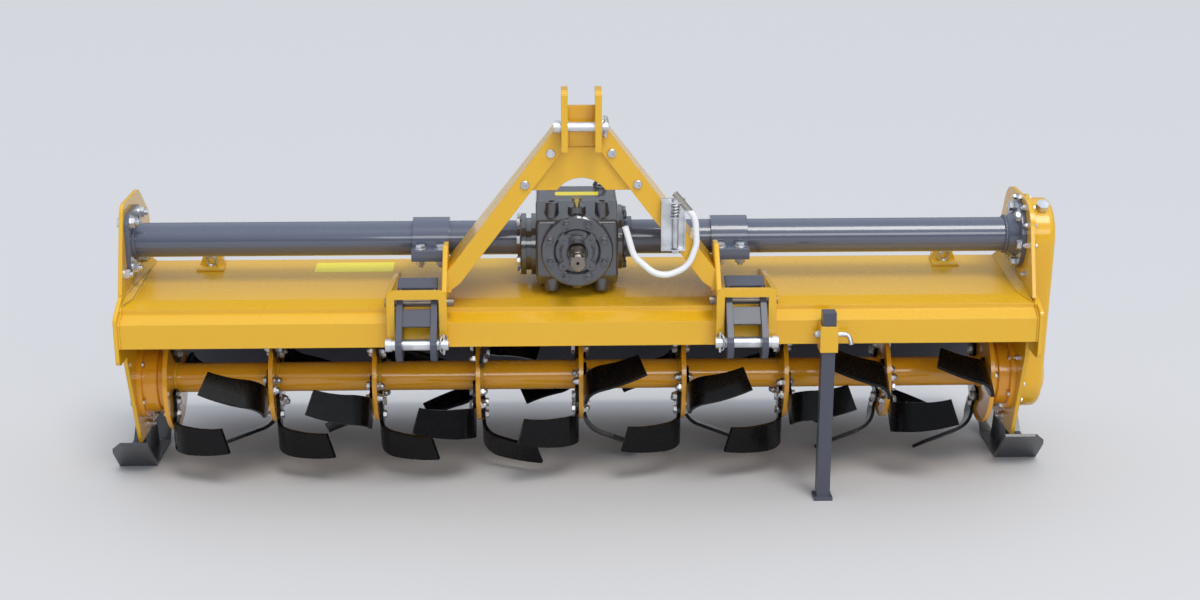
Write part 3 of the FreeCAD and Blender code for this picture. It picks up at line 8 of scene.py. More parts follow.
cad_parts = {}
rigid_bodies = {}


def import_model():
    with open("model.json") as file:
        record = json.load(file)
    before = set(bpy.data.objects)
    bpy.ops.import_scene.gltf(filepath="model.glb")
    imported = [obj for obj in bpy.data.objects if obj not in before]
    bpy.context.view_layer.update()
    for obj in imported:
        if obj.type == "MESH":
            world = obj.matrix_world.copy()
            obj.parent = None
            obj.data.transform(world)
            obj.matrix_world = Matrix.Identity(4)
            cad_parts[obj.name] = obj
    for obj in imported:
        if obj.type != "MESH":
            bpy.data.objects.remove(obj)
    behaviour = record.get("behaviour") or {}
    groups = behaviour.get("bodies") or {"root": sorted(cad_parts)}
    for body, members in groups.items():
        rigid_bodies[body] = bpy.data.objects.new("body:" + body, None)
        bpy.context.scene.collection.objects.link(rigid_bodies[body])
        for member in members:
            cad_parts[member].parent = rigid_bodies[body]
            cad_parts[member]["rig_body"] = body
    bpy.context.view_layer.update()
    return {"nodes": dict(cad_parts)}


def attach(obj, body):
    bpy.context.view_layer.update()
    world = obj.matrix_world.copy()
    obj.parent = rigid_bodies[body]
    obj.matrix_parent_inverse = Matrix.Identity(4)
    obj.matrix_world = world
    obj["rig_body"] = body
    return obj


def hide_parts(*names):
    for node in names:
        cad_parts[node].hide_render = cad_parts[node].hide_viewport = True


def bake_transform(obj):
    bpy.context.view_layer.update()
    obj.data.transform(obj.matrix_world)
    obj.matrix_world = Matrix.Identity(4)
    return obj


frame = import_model()
nodes = frame["nodes"]


# ---------------------------------------------------------------- deck
# Folded steel deck with the box beam along its front, welded to the two deck
# ends. All of it is sprayed in one glossy yellow enamel after welding.

class Value:
    """A shader socket. Sums written with it become Math nodes."""

    def __init__(self, finish, socket):
        self.finish, self.socket = finish, socket

    def maths(self, kind, first, second):
        return self.finish.node("Math", {"operation": kind}, [first, second])

    def __add__(self, other): return self.maths("ADD", self, other)
    def __radd__(self, other): return self.maths("ADD", other, self)
    def __sub__(self, other): return self.maths("SUBTRACT", self, other)
    def __rsub__(self, other): return self.maths("SUBTRACT", other, self)
    def __mul__(self, other): return self.maths("MULTIPLY", self, other)
    def __rmul__(self, other): return self.maths("MULTIPLY", other, self)


class Finish:
    """A material with one Principled shader, whose inputs are set by name."""

    def __init__(self, name, **sockets):
        self.material = bpy.data.materials.new(name)
        self.material.use_nodes = True
        self.tree = self.material.node_tree
        self.shader = self.tree.nodes["Principled BSDF"]
        self.place = self.node("TexCoord", out="Object")
        self.set(**sockets)

    def join(self, socket, value):
        if isinstance(value, Value):
            self.tree.links.new(value.socket, socket)
        elif value is not None:
            socket.default_value = value

    def node(self, kind, settings=None, sockets=None, out=0):
        made = self.tree.nodes.new("ShaderNode" + kind)
        for name, value in (settings or {}).items():
            setattr(made, name, value)
        pairs = sockets.items() if isinstance(sockets, dict) else enumerate(sockets or ())
        for key, value in pairs:
            self.join(made.inputs[key], value)
        return Value(self, made.outputs[out])

    def set(self, **sockets):
        for name, value in sockets.items():
            self.join(self.shader.inputs[name.replace("_", " ")], value)

    def noise(self, scale, detail):
        """Clouds fixed to the piece, about this many to a metre."""
        return self.node("TexNoise", {"noise_dimensions": "3D"},
                         {"Vector": self.place, "Scale": scale, "Detail": detail}, out="Fac")

    def ramp(self, value, low, high):
        """0 below low, 1 above high."""
        return self.node("MapRange", {"interpolation_type": "SMOOTHSTEP"},
                         {"Value": value, "From Min": low, "From Max": high}, out="Result")

    def mix(self, share, first, second):
        """From the first colour to the second, as share goes from 0 to 1."""
        return self.node("Mix", {"data_type": "RGBA"}, {0: share, 6: first, 7: second}, out=2)

    def upward(self):
        """How far a surface faces the sky, 0 to 1."""
        normal = self.node("NewGeometry", out="Normal")
        return self.node("SeparateXYZ", sockets=[normal], out="Z")

    def relief(self, height, depth, strength, edge=0.0):
        """Bump of a height field, with edges softened where edge is a radius in metres."""
        normal = self.node("Bevel", {"samples": 4}, {"Radius": edge}) if edge else None
        return self.node("Bump", None, {"Strength": strength, "Distance": depth,
                                        "Height": height, "Normal": normal})


def shade(*screen, dim=1.0):
    """A colour given as it is seen on a screen, 0 to 255, dimmed by a factor."""
    linear = []
    for value in screen:
        value *= dim
        linear.append(value / 255 / 12.92 if value < 11 else ((value / 255 + 0.055) / 1.055) ** 2.4)
    return (*linear, 1.0)


PEEL_DEPTH, SOFT_EDGE = 0.000045, 0.003


def enamel(name, colour, dust, gloss, grime, shine=0.55):
    """Sprayed paint: faint orange peel, clear gloss, thin dust where it faces up."""
    paint = Finish(name, IOR=1.42)
    cloud = paint.noise(3.1, 4.0)
    fine = paint.noise(38.0, 3.0)
    up = paint.ramp(paint.upward(), 0.35, 0.98)
    film = paint.ramp(cloud + fine * 0.35, 0.45, 0.95)
    tone = paint.mix(cloud * 0.5, shade(*colour), shade(*colour, dim=0.93))
    tone = paint.mix(up * film * grime * 0.45, tone, shade(*dust))
    peel = paint.noise(420.0, 1.0) + paint.noise(9.0, 1.0) * 4.0
    paint.set(Base_Color=tone,
              Roughness=gloss + film * up * 0.14 + fine * 0.05,
              Coat_Weight=shine - up * shine * 0.35,
              Coat_Roughness=0.06,
              Normal=paint.relief(peel, PEEL_DEPTH, 0.55, SOFT_EDGE))
    return paint.material


yellow_enamel = enamel("yellow_enamel", (230, 178, 34), (226, 190, 84), 0.22, 0.15, 0.5)


def coat(finish, *names):
    """Gives these CAD nodes a finish."""
    for name in names:
        for part in nodes[name].material_slots:
            part.material = finish


coat(yellow_enamel, "deck", "deck_end_left", "deck_end_right")


def put(name, data):
    """A new object in the scene for this mesh, curve, light or camera."""
    made = bpy.data.objects.new(name, data)
    bpy.context.scene.collection.objects.link(made)
    return made


def grow(tree, kind, settings=None, sockets=None, out=0):
    """An output of a new Geometry node, whose settings and inputs are set first."""
    made = tree.nodes.new(kind)
    for name, value in (settings or {}).items():
        setattr(made, name, value)
    for key, value in (sockets or {}).items():
        if isinstance(value, bpy.types.NodeSocket):
            tree.links.new(value, made.inputs[key])
        else:
            made.inputs[key].default_value = value
    return made.outputs[out]


def reckon(tree, kind, *values):
    """The result of a Math node."""
    return grow(tree, "ShaderNodeMath", {"operation": kind}, dict(enumerate(values)))


def tree_of(name, result, **inputs):
    """A Geometry Nodes tree with its named inputs, and the sockets they feed."""
    tree = bpy.data.node_groups.new(name, "GeometryNodeTree")
    for label, kind in inputs.items():
        tree.interface.new_socket(label, in_out="INPUT", socket_type="NodeSocket" + kind)
    tree.interface.new_socket(result, in_out="OUTPUT", socket_type="NodeSocketGeometry")
    return tree, tree.nodes.new("NodeGroupInput").outputs


def end_tree(tree, shape, finish):
    """The close of each tree: real geometry with its finish."""
    shape = grow(tree, "GeometryNodeRealizeInstances", None, {"Geometry": shape})
    shape = grow(tree, "GeometryNodeSetMaterial", None, {"Geometry": shape, "Material": finish})
    tree.links.new(shape, tree.nodes.new("NodeGroupOutput").inputs[0])


def plain(name, start):
    """A plain mesh of what a modifier or a curve makes. The start object goes."""
    bpy.context.view_layer.update()
    graph = bpy.context.evaluated_depsgraph_get()
    mesh = bpy.data.meshes.new_from_object(start.evaluated_get(graph))
    bpy.data.objects.remove(start)
    mesh.name = name
    return mesh


def grown(name, start, tree, **inputs):
    """The plain piece that a Geometry Nodes tree makes from a start object."""
    sockets = {item.name: item.identifier for item in tree.interface.items_tree
               if item.item_type == "SOCKET" and item.in_out == "INPUT"}
    modifier = start.modifiers.new("grow", "NODES")
    modifier.node_group = tree
    for label, value in inputs.items():
        modifier[sockets[label]] = value
    return put(name, plain(name, start))


# Weld beads: a run of small overlapping ripples laid along a seam.
BEAD_STEP, RIPPLE_TURNS = 0.0022, 1050.0
weld_tree, entry = tree_of("weld_bead", "Bead", Seam="Geometry", Width="Float", Ripple="Float",
                           Seed="Float", Finish="Material")
line = grow(weld_tree, "GeometryNodeMeshToCurve", None, {"Mesh": entry["Seam"]})
line = grow(weld_tree, "GeometryNodeResampleCurve", {"mode": "LENGTH"},
            {"Curve": line, "Length": BEAD_STEP})
along = grow(weld_tree, "GeometryNodeSplineParameter", out="Length")
wave = reckon(weld_tree, "SINE", reckon(weld_tree, "MULTIPLY", along, RIPPLE_TURNS))
wave = reckon(weld_tree, "MULTIPLY_ADD", wave, entry["Ripple"], 1.0)
spot = grow(weld_tree, "GeometryNodeInputPosition")
drift = grow(weld_tree, "ShaderNodeTexNoise", {"noise_dimensions": "4D"},
             {"Vector": spot, "W": entry["Seed"], "Scale": 45.0, "Detail": 1.0}, out="Fac")
drift = reckon(weld_tree, "MULTIPLY_ADD", drift, 0.5, 0.75)
wide = reckon(weld_tree, "MULTIPLY", reckon(weld_tree, "MULTIPLY", wave, drift), entry["Width"])
round_wire = grow(weld_tree, "GeometryNodeCurvePrimitiveCircle", {"mode": "RADIUS"},
                  {"Resolution": 8, "Radius": 1.0})
bead = grow(weld_tree, "GeometryNodeCurveToMesh", None,
            {"Curve": line, "Profile Curve": round_wire, "Scale": wide, "Fill Caps": True})
bead = grow(weld_tree, "GeometryNodeSetShadeSmooth", None, {"Geometry": bead})
end_tree(weld_tree, bead, entry["Finish"])


def weld(name, seams, body, width, seed, finish=yellow_enamel):
    """Beads along seams, lists of points in mm. A seam that ends where it starts is a ring."""
    points, edges = [], []
    for seam in seams:
        start = len(points)
        closed = (Vector(seam[0]) - Vector(seam[-1])).length < 0.01
        points += [Vector(p) / 1000 for p in (seam[:-1] if closed else seam)]
        count = len(points) - start
        edges += [(start + i, start + i + 1) for i in range(count - 1)]
        if closed:
            edges.append((start + count - 1, start))
    mesh = bpy.data.meshes.new(name + "_seams")
    mesh.from_pydata(points, edges, [])
    made = grown(name, put(name + "_seams", mesh), weld_tree, Width=width / 1000, Ripple=0.16,
                 Seed=seed, Finish=finish)
    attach(made, body)


def deck_z(y):
    """Height in mm of the deck sheet's upper face at this place along the machine."""
    return 511 + (y + 180) / 300 * 21


def nose(x, y, low, rear):
    """Seam up the beam's front and over its rounded top."""
    return [(x, y, low), (x, y, 473), (x, -236, 491), (x, -235, 503), (x, rear, 511)]


# Inner faces of the side plates.
PLATE_LEFT, PLATE_RIGHT = -1162, 1150
ends = [[(x, y, deck_z(y)) for y in (-178, -60, 60, 118)] for x in (PLATE_LEFT, PLATE_RIGHT)]
noses = [nose(x, -270, 411, -180) for x in (PLATE_LEFT + 1, PLATE_RIGHT + 9)]
weld("deck_welds", ends + noses, "frame", 4.0, 2.0)


def solid(name, parts, finish, smooth=32):
    """One mesh piece from pairs of points in metres and faces."""
    points, faces = [], []
    for more_points, more_faces in parts:
        start = len(points)
        points += [tuple(p) for p in more_points]
        faces += [tuple(start + i for i in face) for face in more_faces]
    mesh = bpy.data.meshes.new(name)
    mesh.from_pydata(points, [], faces)
    mesh.validate()
    for face in mesh.polygons:
        face.use_smooth = True
    mesh.set_sharp_from_angle(angle=math.radians(smooth))
    mesh.materials.append(finish)
    return put(name, mesh)


def shell(rings, closed=False):
    """Points and faces of a skin over equal rings, ends capped unless it closes on itself."""
    count = len(rings[0])
    points = [p for ring in rings for p in ring]
    faces = []
    last = len(rings) if closed else len(rings) - 1
    for k in range(last):
        a, b = k * count, (k + 1) % len(rings) * count
        for i in range(count):
            j = (i + 1) % count
            faces.append((a + i, a + j, b + j, b + i))
    if not closed:
        faces.append(tuple(reversed(range(count))))
        faces.append(tuple(range((len(rings) - 1) * count, len(rings) * count)))
    return points, faces


def slab(name, corners, thick, finish, body, edge=2.5):
    """A plate with rounded edges: corners in mm run round one face, thick goes along its normal."""
    spots = [Vector(p) for p in corners]
    up = (spots[1] - spots[0]).cross(spots[-1] - spots[0]).normalized()
    middle = sum(spots, Vector()) / len(spots)
    rings = []
    for rise, inset in ((0, edge), (edge * 0.3, edge * 0.3), (edge, 0), (thick - edge, 0),
                        (thick - edge * 0.3, edge * 0.3), (thick, edge)):
        rings.append([(p + (middle - p).normalized() * inset + up * rise) / 1000 for p in spots])
    made = solid(name, [shell(rings)], finish)
    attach(made, body)


# The deck sheet's side edges are folded up against the side plates.
for side, wall, foot in (("left", PLATE_LEFT - 1, PLATE_LEFT + 24),
                         ("right", PLATE_RIGHT + 1, PLATE_RIGHT - 24)):
    fold = [(foot, -176, deck_z(-176) - 1), (foot, 116, deck_z(116) - 1),
            (wall, 116, deck_z(116) + 22), (wall, -176, deck_z(-176) + 9), (wall, -236, 504)]
    if side == "right":
        fold.reverse()
    slab("deck_fold_" + side, fold, 2, yellow_enamel, "frame", edge=0.6)


# ---------------------------------------------------------------- side plates
# Ten millimetre plates that carry the rotor, cut to shape and painted with the
# deck. On the right the pressed cover of the oil-filled gear train sits outside.

PLATE_THICK = 10
# Middles of the rotor and of the cross tube, in mm.
ROTOR = (0, -30, 250)
TUBE = (0, -50, 636)
coat(yellow_enamel, "side_plate_left", "side_plate_right", "side_gearcase")


# ---------------------------------------------------------------- fixings
# Zinc-plated hexagon bolts, plain washers and nuts hold the bolted pieces. The
# mast has socket screws; acorn nuts sit where a thread end would catch.

ZINC = (226, 228, 232)
zinc = Finish("zinc_plate", Metallic=1.0)
zinc_cloud, zinc_fine = zinc.noise(26.0, 3.0), zinc.noise(240.0, 2.0)
passivation = zinc.ramp(zinc_cloud, 0.35, 0.7)
zinc.set(Base_Color=zinc.mix(passivation, shade(*ZINC), shade(*ZINC, dim=0.86)),
         Roughness=0.24 + zinc_fine * 0.16 + zinc_cloud * 0.08,
         Normal=zinc.relief(zinc_fine, 0.00008, 0.4))
zinc_plate = zinc.material

FACETS = 24


def disc(radius, height, across=None):
    """One ring about Z: round, or hexagonal where across is the size over flats."""
    points = []
    for i in range(FACETS):
        turn = 2 * math.pi * i / FACETS
        reach = radius
        if across:
            corner = turn % (math.pi / 3) - math.pi / 6
            reach = min(radius, across / 2 / math.cos(corner))
        points.append((reach * math.cos(turn), reach * math.sin(turn), height))
    return points


def chamfered(across, low, high):
    """Hexagon head or nut, whose top corners are turned off at thirty degrees."""
    rim = disc(1, low, across)
    fall = math.tan(math.radians(30))
    top = [(x, y, high - (math.hypot(x, y) - across * 0.47) * fall) for x, y, _ in rim]
    return shell([rim, top, disc(across * 0.465, high)])


def washer(reach, thick):
    edge = thick * 0.2
    return shell([disc(reach - edge, 0), disc(reach, edge),
                  disc(reach, thick - edge), disc(reach - edge, thick)])


def screw_end(radius, low, high, pitch=0.16):
    """Thread end standing out of a nut, its crests as rings."""
    root = radius * 0.9
    rings, level = [], low
    while level < high - pitch:
        rings += [disc(root, level), disc(radius, level + pitch / 2)]
        level += pitch
    rings += [disc(root, level), disc(radius * 0.78, high)]
    return shell(rings)


def turned(*steps):
    """A turned head from its (radius, height) steps."""
    return shell([disc(radius, height) for radius, height in steps])


# Sizes are for a thread of 1. The tree scales them to the real thread. The last
# two rings of the socket head are its hexagon recess.
HEX = 1.62
socket_head = [disc(0.98, 0), disc(1.0, 0.06), disc(1.0, 0.42), disc(0.84, 0.56), disc(0.5, 0.58),
               disc(0.46, 0.5, across=0.86), disc(0.44, 0.16, across=0.82)]
patterns = {
    "bolt": [washer(1.12, 0.14), chamfered(HEX, 0.14, 0.78)],
    "nut": [washer(1.12, 0.14), chamfered(HEX, 0.14, 0.98), screw_end(0.5, 0.9, 1.5)],
    "screw": [chamfered(HEX, 0, 0.66)],
    "acorn": [washer(1.1, 0.14), chamfered(HEX, 0.14, 0.72),
              turned((0.72, 0.6), (0.72, 0.9), (0.6, 1.2), (0.36, 1.42), (0.1, 1.5))],
    "button": [turned((0.95, 0), (0.95, 0.1), (0.82, 0.36), (0.5, 0.52), (0.12, 0.57))],
    "socket": [shell(socket_head)],
    "plug": [washer(1.05, 0.1), chamfered(1.5, 0.1, 0.6)],
}
stamps = {}
for kind, parts in patterns.items():
    stamps[kind] = solid("stamp_" + kind, parts, zinc_plate, 28)

fixing_tree, entry = tree_of("place_fixings", "Fixings", Places="Geometry", Fixing="Object",
                             Finish="Material")


def attribute(name, kind):
    """A value that each place carries."""
    return grow(fixing_tree, "GeometryNodeInputNamedAttribute", {"data_type": kind},
                {"Name": name}, out="Attribute")


aim = grow(fixing_tree, "FunctionNodeAlignRotationToVector", {"axis": "Z"},
           {"Vector": attribute("aim", "FLOAT_VECTOR")})
spin = grow(fixing_tree, "FunctionNodeAxisAngleToRotation", None,
            {"Axis": (0, 0, 1), "Angle": attribute("turn", "FLOAT")})
stance = grow(fixing_tree, "FunctionNodeRotateRotation", {"rotation_space": "LOCAL"},
              {"Rotation": aim, "Rotate By": spin})
source = grow(fixing_tree, "GeometryNodeObjectInfo", None, {"Object": entry["Fixing"]},
              out="Geometry")
placed = grow(fixing_tree, "GeometryNodeInstanceOnPoints", None,
              {"Points": entry["Places"], "Instance": source, "Rotation": stance,
               "Scale": attribute("thread", "FLOAT")})
end_tree(fixing_tree, placed, entry["Finish"])


def place_fixings(name, kind, places, body, finish=zinc_plate):
    """places: (point in mm, direction it stands out in, thread in mm[, turn]).

    Without a turn of its own, each stands a little further round than the last.
    """
    mesh = bpy.data.meshes.new(name + "_places")
    mesh.from_pydata([Vector(place[0]) / 1000 for place in places], [], [])
    for label, value_kind in (("aim", "FLOAT_VECTOR"), ("turn", "FLOAT"), ("thread", "FLOAT")):
        mesh.attributes.new(label, value_kind, "POINT")
    for i, place in enumerate(places):
        mesh.attributes["aim"].data[i].vector = place[1]
        mesh.attributes["thread"].data[i].value = place[2] / 1000
        mesh.attributes["turn"].data[i].value = place[3] if len(place) > 3 else 0.37 * i
    made = grown(name, put(name + "_places", mesh), fixing_tree, Fixing=stamps[kind],
                 Finish=finish)
    if body:
        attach(made, body)
    return made


def circle(centre, axis, radius, count, first=0.0):
    """Points in mm evenly round an axis, X or Y, the first at an angle in degrees."""
    points = []
    for i in range(count):
        turn = math.radians(first + 360 * i / count)
        a, b = radius * math.cos(turn), radius * math.sin(turn)
        offset = (0, a, b) if axis == "X" else (a, 0, b)
        points.append(tuple(c + o for c, o in zip(centre, offset)))
    return points


# Rim of the side case: screws outside, and their nuts on the plate's inner face.
RIM = 100
low, high = Vector(ROTOR), Vector(TUBE)
case_line = (high - low).normalized()
case_side = Vector((0, case_line.z, -case_line.y))
rim = []
for share in (0.0, 0.2, 0.4, 0.6, 0.8, 1.0):
    rim += [low.lerp(high, share) + case_side * reach for reach in (-RIM, RIM)]
for centre, sign in ((low, -1), (high, 1)):
    for angle in (-60, -30, 0, 30, 60):
        turn = math.radians(angle)
        rim.append(centre + case_line * (sign * RIM * math.cos(turn))
                   + case_side * (RIM * math.sin(turn)))
inside = [p for p in rim if (p - low).length > 115]
place_fixings("case_screws", "screw",
              [((PLATE_RIGHT + 20, p.y, p.z), (1, 0, 0), 6.5) for p in rim], "frame")
place_fixings("case_nuts", "nut",
              [((PLATE_RIGHT, p.y, p.z), (-1, 0, 0), 8) for p in inside], "frame")
place_fixings("oil_level_plug", "plug", [((1226, -40, 430), (1, 0, 0), 16)], "frame")

# The bearing housings' feet, and the skids' uprights, are bolted through the plates:
# the hubs on a circle (radius, count, first angle), the skids at two places (y, z).
HUB_BOLTS = (97, 6, 20)
SKID_BOLTS = ((-14, 116), (84, 116))
SKID_THICK = 10
for side, inner, inward in (("left", PLATE_LEFT, 1), ("right", PLATE_RIGHT, -1)):
    outer = inner - inward * PLATE_THICK
    feet = circle((inner + inward * 14, *ROTOR[1:]), "X", *HUB_BOLTS)
    place_fixings("hub_nuts_" + side, "screw", [(p, (inward, 0, 0), 8) for p in feet], "frame")
    if side == "left":
        heads = circle((outer, *ROTOR[1:]), "X", *HUB_BOLTS)
        place_fixings("hub_bolts_left", "bolt", [(p, (-1, 0, 0), 12) for p in heads], "frame")
    place_fixings("skid_nuts_" + side, "nut",
                  [((inner, y, z), (inward, 0, 0), 12) for y, z in SKID_BOLTS], "frame")
    place_fixings("skid_bolts_" + side, "bolt",
                  [((outer - inward * SKID_THICK, y, z), (-inward, 0, 0), 12)
                   for y, z in SKID_BOLTS], "frame")
place_fixings("plate_nut", "nut", [((PLATE_LEFT, -150, 572), (1, 0, 0), 14)], "frame")


# ---------------------------------------------------------------- cross tube
# Thick-walled tube that ties the two sides together. The drive shaft to the
# side case runs inside it; each end is welded to a flange bolted to its plate.

grey_enamel = enamel("grey_enamel", (74, 77, 90), (150, 146, 138), 0.36, 0.2, 0.25)
tube_enamel = enamel("tube_enamel", (84, 91, 110), (150, 150, 150), 0.2, 0.1, 1.0)
coat(tube_enamel, "cross_tube_left", "cross_tube_right", "tube_clamp_left", "tube_clamp_right")


def ring(centre, radius, count):
    """A closed seam round a tube along X."""
    points = circle(centre, "X", radius, count)
    return points + points[:1]


weld("tube_welds", [ring((x, *TUBE[1:]), 46, 40) for x in (PLATE_LEFT + 13, PLATE_RIGHT - 40)],
     "frame", 4.5, 3.0, tube_enamel)

corners = [(y, z) for y in (-104, 4) for z in (576, 696)]
place_fixings("left_flange_bolts", "nut",
              [((PLATE_LEFT + 12, y, z), (1, 0, 0), 15) for y, z in corners], "frame")
place_fixings("left_flange_heads", "screw",
              [((PLATE_LEFT - PLATE_THICK, y, z), (-1, 0, 0), 15) for y, z in corners], "frame")
place_fixings("right_flange_bolts", "bolt",
              [(p, (-1, 0, 0), 14) for p in circle((1138, *TUBE[1:]), "X", 74, 6, 8)], "frame")
feet = [(sign * x, y) for sign in (-1, 1) for x in (360, 411) for y in (-128, 28)]
place_fixings("clamp_bolts", "bolt", [((x, y, 628), (0, 0, 1), 14) for x, y in feet], "frame")
place_fixings("clamp_nuts", "nut", [((x, y, 600), (0, 0, -1), 14) for x, y in feet], "frame")


# ---------------------------------------------------------------- gearbox
# Cast iron housing with bolted bearing covers, sprayed grey over a sand-cast
# skin. The splined input shaft is bare machined steel.

CAST_GREY = (50, 54, 64)
iron = Finish("cast_grey", IOR=1.5, Coat_Roughness=0.05, Coat_IOR=1.85)
sand, lumps, iron_cloud = iron.noise(520.0, 3.0), iron.noise(70.0, 3.0), iron.noise(12.0, 3.0)
iron_tone = iron.mix(iron_cloud * 0.6, shade(*CAST_GREY), shade(*CAST_GREY, dim=0.88))
iron_dust = iron.ramp(iron.upward(), 0.4, 1.0) * iron_cloud * 0.2
iron.set(Base_Color=iron.mix(iron_dust, iron_tone, shade(150, 146, 138)),
         Roughness=0.24 + sand * 0.12, Coat_Weight=1.0 - iron_cloud * 0.2,
         Normal=iron.relief(sand + lumps * 2.2, 0.00016, 0.5, edge=0.004))
cast_grey = iron.material
coat(cast_grey, "gearbox_housing", "gearbox_side_cover", "gearbox_front_cover")


def machined(name, colour):
    """Bare turned metal, its gloss clouded by handling."""
    steel = Finish(name, Metallic=1.0, Anisotropic=0.5)
    lathe, stain = steel.noise(900.0, 1.0), steel.noise(14.0, 3.0)
    tone = steel.mix(steel.ramp(stain, 0.4, 0.75), shade(*colour), shade(120, 108, 96))
    steel.set(Base_Color=tone, Roughness=0.22 + stain * 0.25,
              Normal=steel.relief(lathe, 0.00006, 0.5))
    return steel.material


bare_steel = machined("bare_steel", (142, 134, 126))
coat(bare_steel, "pto_shaft")
coat(machined("brass", (196, 176, 112)), "breather_plug")

# Raised cross round the shaft seal, whose four arms carry the guard's bolts.
SHAFT_X, SHAFT_Z = -10, 636
ARM_AT, ARM_RADIUS, BOSS_RADIUS = 51, 12, 41


def cross_reach(turn):
    """How far the cross reaches at an angle round the input shaft, in mm."""
    off_arm = abs(turn % (math.pi / 2) - math.pi / 4)
    off = ARM_AT * math.sin(off_arm)
    if off >= ARM_RADIUS:
        return BOSS_RADIUS
    return max(BOSS_RADIUS, ARM_AT * math.cos(off_arm) + math.sqrt(ARM_RADIUS ** 2 - off * off))


def seal_rim(y, radius=None, inset=0):
    """Ring of points round the input shaft at y: round, or the cross's own outline."""
    points = []
    for k in range(144):
        turn = 2 * math.pi * k / 144
        reach = radius or cross_reach(turn) - inset
        points.append(((SHAFT_X + reach * math.cos(turn)) / 1000, y / 1000,
                       (SHAFT_Z + reach * math.sin(turn)) / 1000))
    return points


rims = [seal_rim(-193), seal_rim(-206.5), seal_rim(-208.5, inset=2),
        seal_rim(-208.5, 27), seal_rim(-206.5, 25), seal_rim(-193, 25)]
boss = solid("front_cover_cross", [shell(rims, closed=True)], cast_grey)
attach(boss, "frame")

place_fixings("front_cover_bolts", "screw",
              [(p, (0, -1, 0), 10) for p in circle((SHAFT_X, -199, SHAFT_Z), "Y", 74, 8, 22.5)],
              "frame", cast_grey)
place_fixings("front_cover_studs", "button",
              [(p, (0, -1, 0), 4) for p in circle((SHAFT_X, -208.5, SHAFT_Z), "Y", 50, 4, 45)],
              "frame", cast_grey)
place_fixings("side_cover_bolts", "bolt",
              [(p, (-1, 0, 0), 12) for p in circle((-155, -50, 618), "X", 70, 8, 22.5)], "frame")
place_fixings("housing_flange_bolts", "bolt",
              [(p, (1, 0, 0), 11) for p in circle((111, *TUBE[1:]), "X", 71, 8, 22.5)],
              "frame", grey_enamel)
place_fixings("drain_plug", "plug", [((SHAFT_X, -168, 546), (0, -0.7, -0.7), 16)], "frame")


# ---------------------------------------------------------------- labels
# Two blank yellow strips of printed film, stuck on the housing behind the
# breather and on the deck. Their corners are cut round.

def strip(name, corners, thick, finish, body):
    """A thin sticker over four corners in mm."""
    a, b, c, d = (Vector(p) for p in corners)
    up = (b - a).cross(d - a).normalized()
    outline = []
    for here, last, after in ((a, d, b), (b, a, c), (c, b, d), (d, c, a)):
        to_last, to_next = (last - here).normalized() * 4, (after - here).normalized() * 4
        for k in range(4):
            share = k / 3
            outline.append(here + to_last * (1 - share) ** 2 + to_next * share ** 2)
    rings = [[(p + up * h) / 1000 for p in outline] for h in (0.05, thick)]
    made = solid(name, [shell(rings)], finish)
    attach(made, body)


sticker = Finish("blank_sticker", IOR=1.45)
sticker_fade = sticker.noise(30.0, 2.0)
sticker.set(Base_Color=sticker.mix(sticker_fade, shade(255, 236, 26), shade(250, 228, 40)),
            Roughness=0.32 + sticker_fade * 0.15, Coat_Weight=0.5,
            Normal=sticker.relief(sticker.noise(160.0, 2.0), 0.00008, 0.4))
HOUSING_TOP = 751
for name, left, right, front, rear in (("gearbox", -65, 47, -66, -28),
                                       ("deck", -705, -497, 20, 92)):
    spread = [(left, front), (right, front), (right, rear), (left, rear)]
    strip(name + "_sticker",
          [(x, y, deck_z(y) if name == "deck" else HOUSING_TOP) for x, y in spread],
          0.5, sticker.material, "frame")


# ---------------------------------------------------------------- mast
# Two folded legs, a gusset and the top-link head, welded up and painted yellow.
# Socket screws hold the legs to the gusset.

coat(yellow_enamel, "mast_leg_left", "mast_leg_right", "mast_head", "mast_gusset")
coat(zinc_plate, "top_pin", "filler_cap")
heads = ((-75, 905), (75, 905), (-139, 826), (139, 826))
place_fixings("mast_bolts", "socket", [((x, -262, z), (0, -1, 0), 11) for x, z in heads], "frame")
place_fixings("mast_nuts", "nut", [((x, -242, z), (0, 1, 0), 10) for x, z in heads], "frame")
seams = []
for x, first, last in ((337, (-262, 552), (-262, 602)), (337, (-250, 562), (-110, 600)),
                       (32, (-249, 922), (-249, 1018))):
    seams += [[(sign * x, *first), (sign * x, *last)] for sign in (-1, 1)]
seams.append([(-48, -243, 919), (48, -243, 919)])
weld("mast_welds", seams, "frame", 4.0, 5.0)


def wire(name, points, radius, finish, body, loop=False, sides=4, smooth=True):
    """Round wire or rod, radius in mm, whose curve the points in mm control."""
    curve = bpy.data.curves.new(name, "CURVE")
    curve.dimensions, curve.bevel_depth, curve.bevel_resolution = "3D", radius / 1000, sides
    curve.use_fill_caps, curve.resolution_u = True, 10
    line = curve.splines.new("NURBS" if smooth else "POLY")
    line.points.add(len(points) - 1)
    for knot, point in zip(line.points, points):
        knot.co = (*(Vector(point) / 1000), 1)
    line.use_cyclic_u = loop
    if smooth:
        line.order_u, line.use_endpoint_u = 3, not loop
    mesh = plain(name, put(name + "_line", curve))
    for face in mesh.polygons:
        face.use_smooth = True
    mesh.set_sharp_from_angle(angle=math.radians(50))
    mesh.materials.clear()
    mesh.materials.append(finish)
    made = put(name, mesh)
    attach(made, body)


def upright(name, x, y, start, end, radius, body):
    """Straight zinc-plated pin along Z, from one height to another."""
    step = math.copysign(1, end - start)
    wire(name, [(x, y, z) for z in (start, start + step, end - step, end)], radius,
         zinc_plate, body, smooth=False)


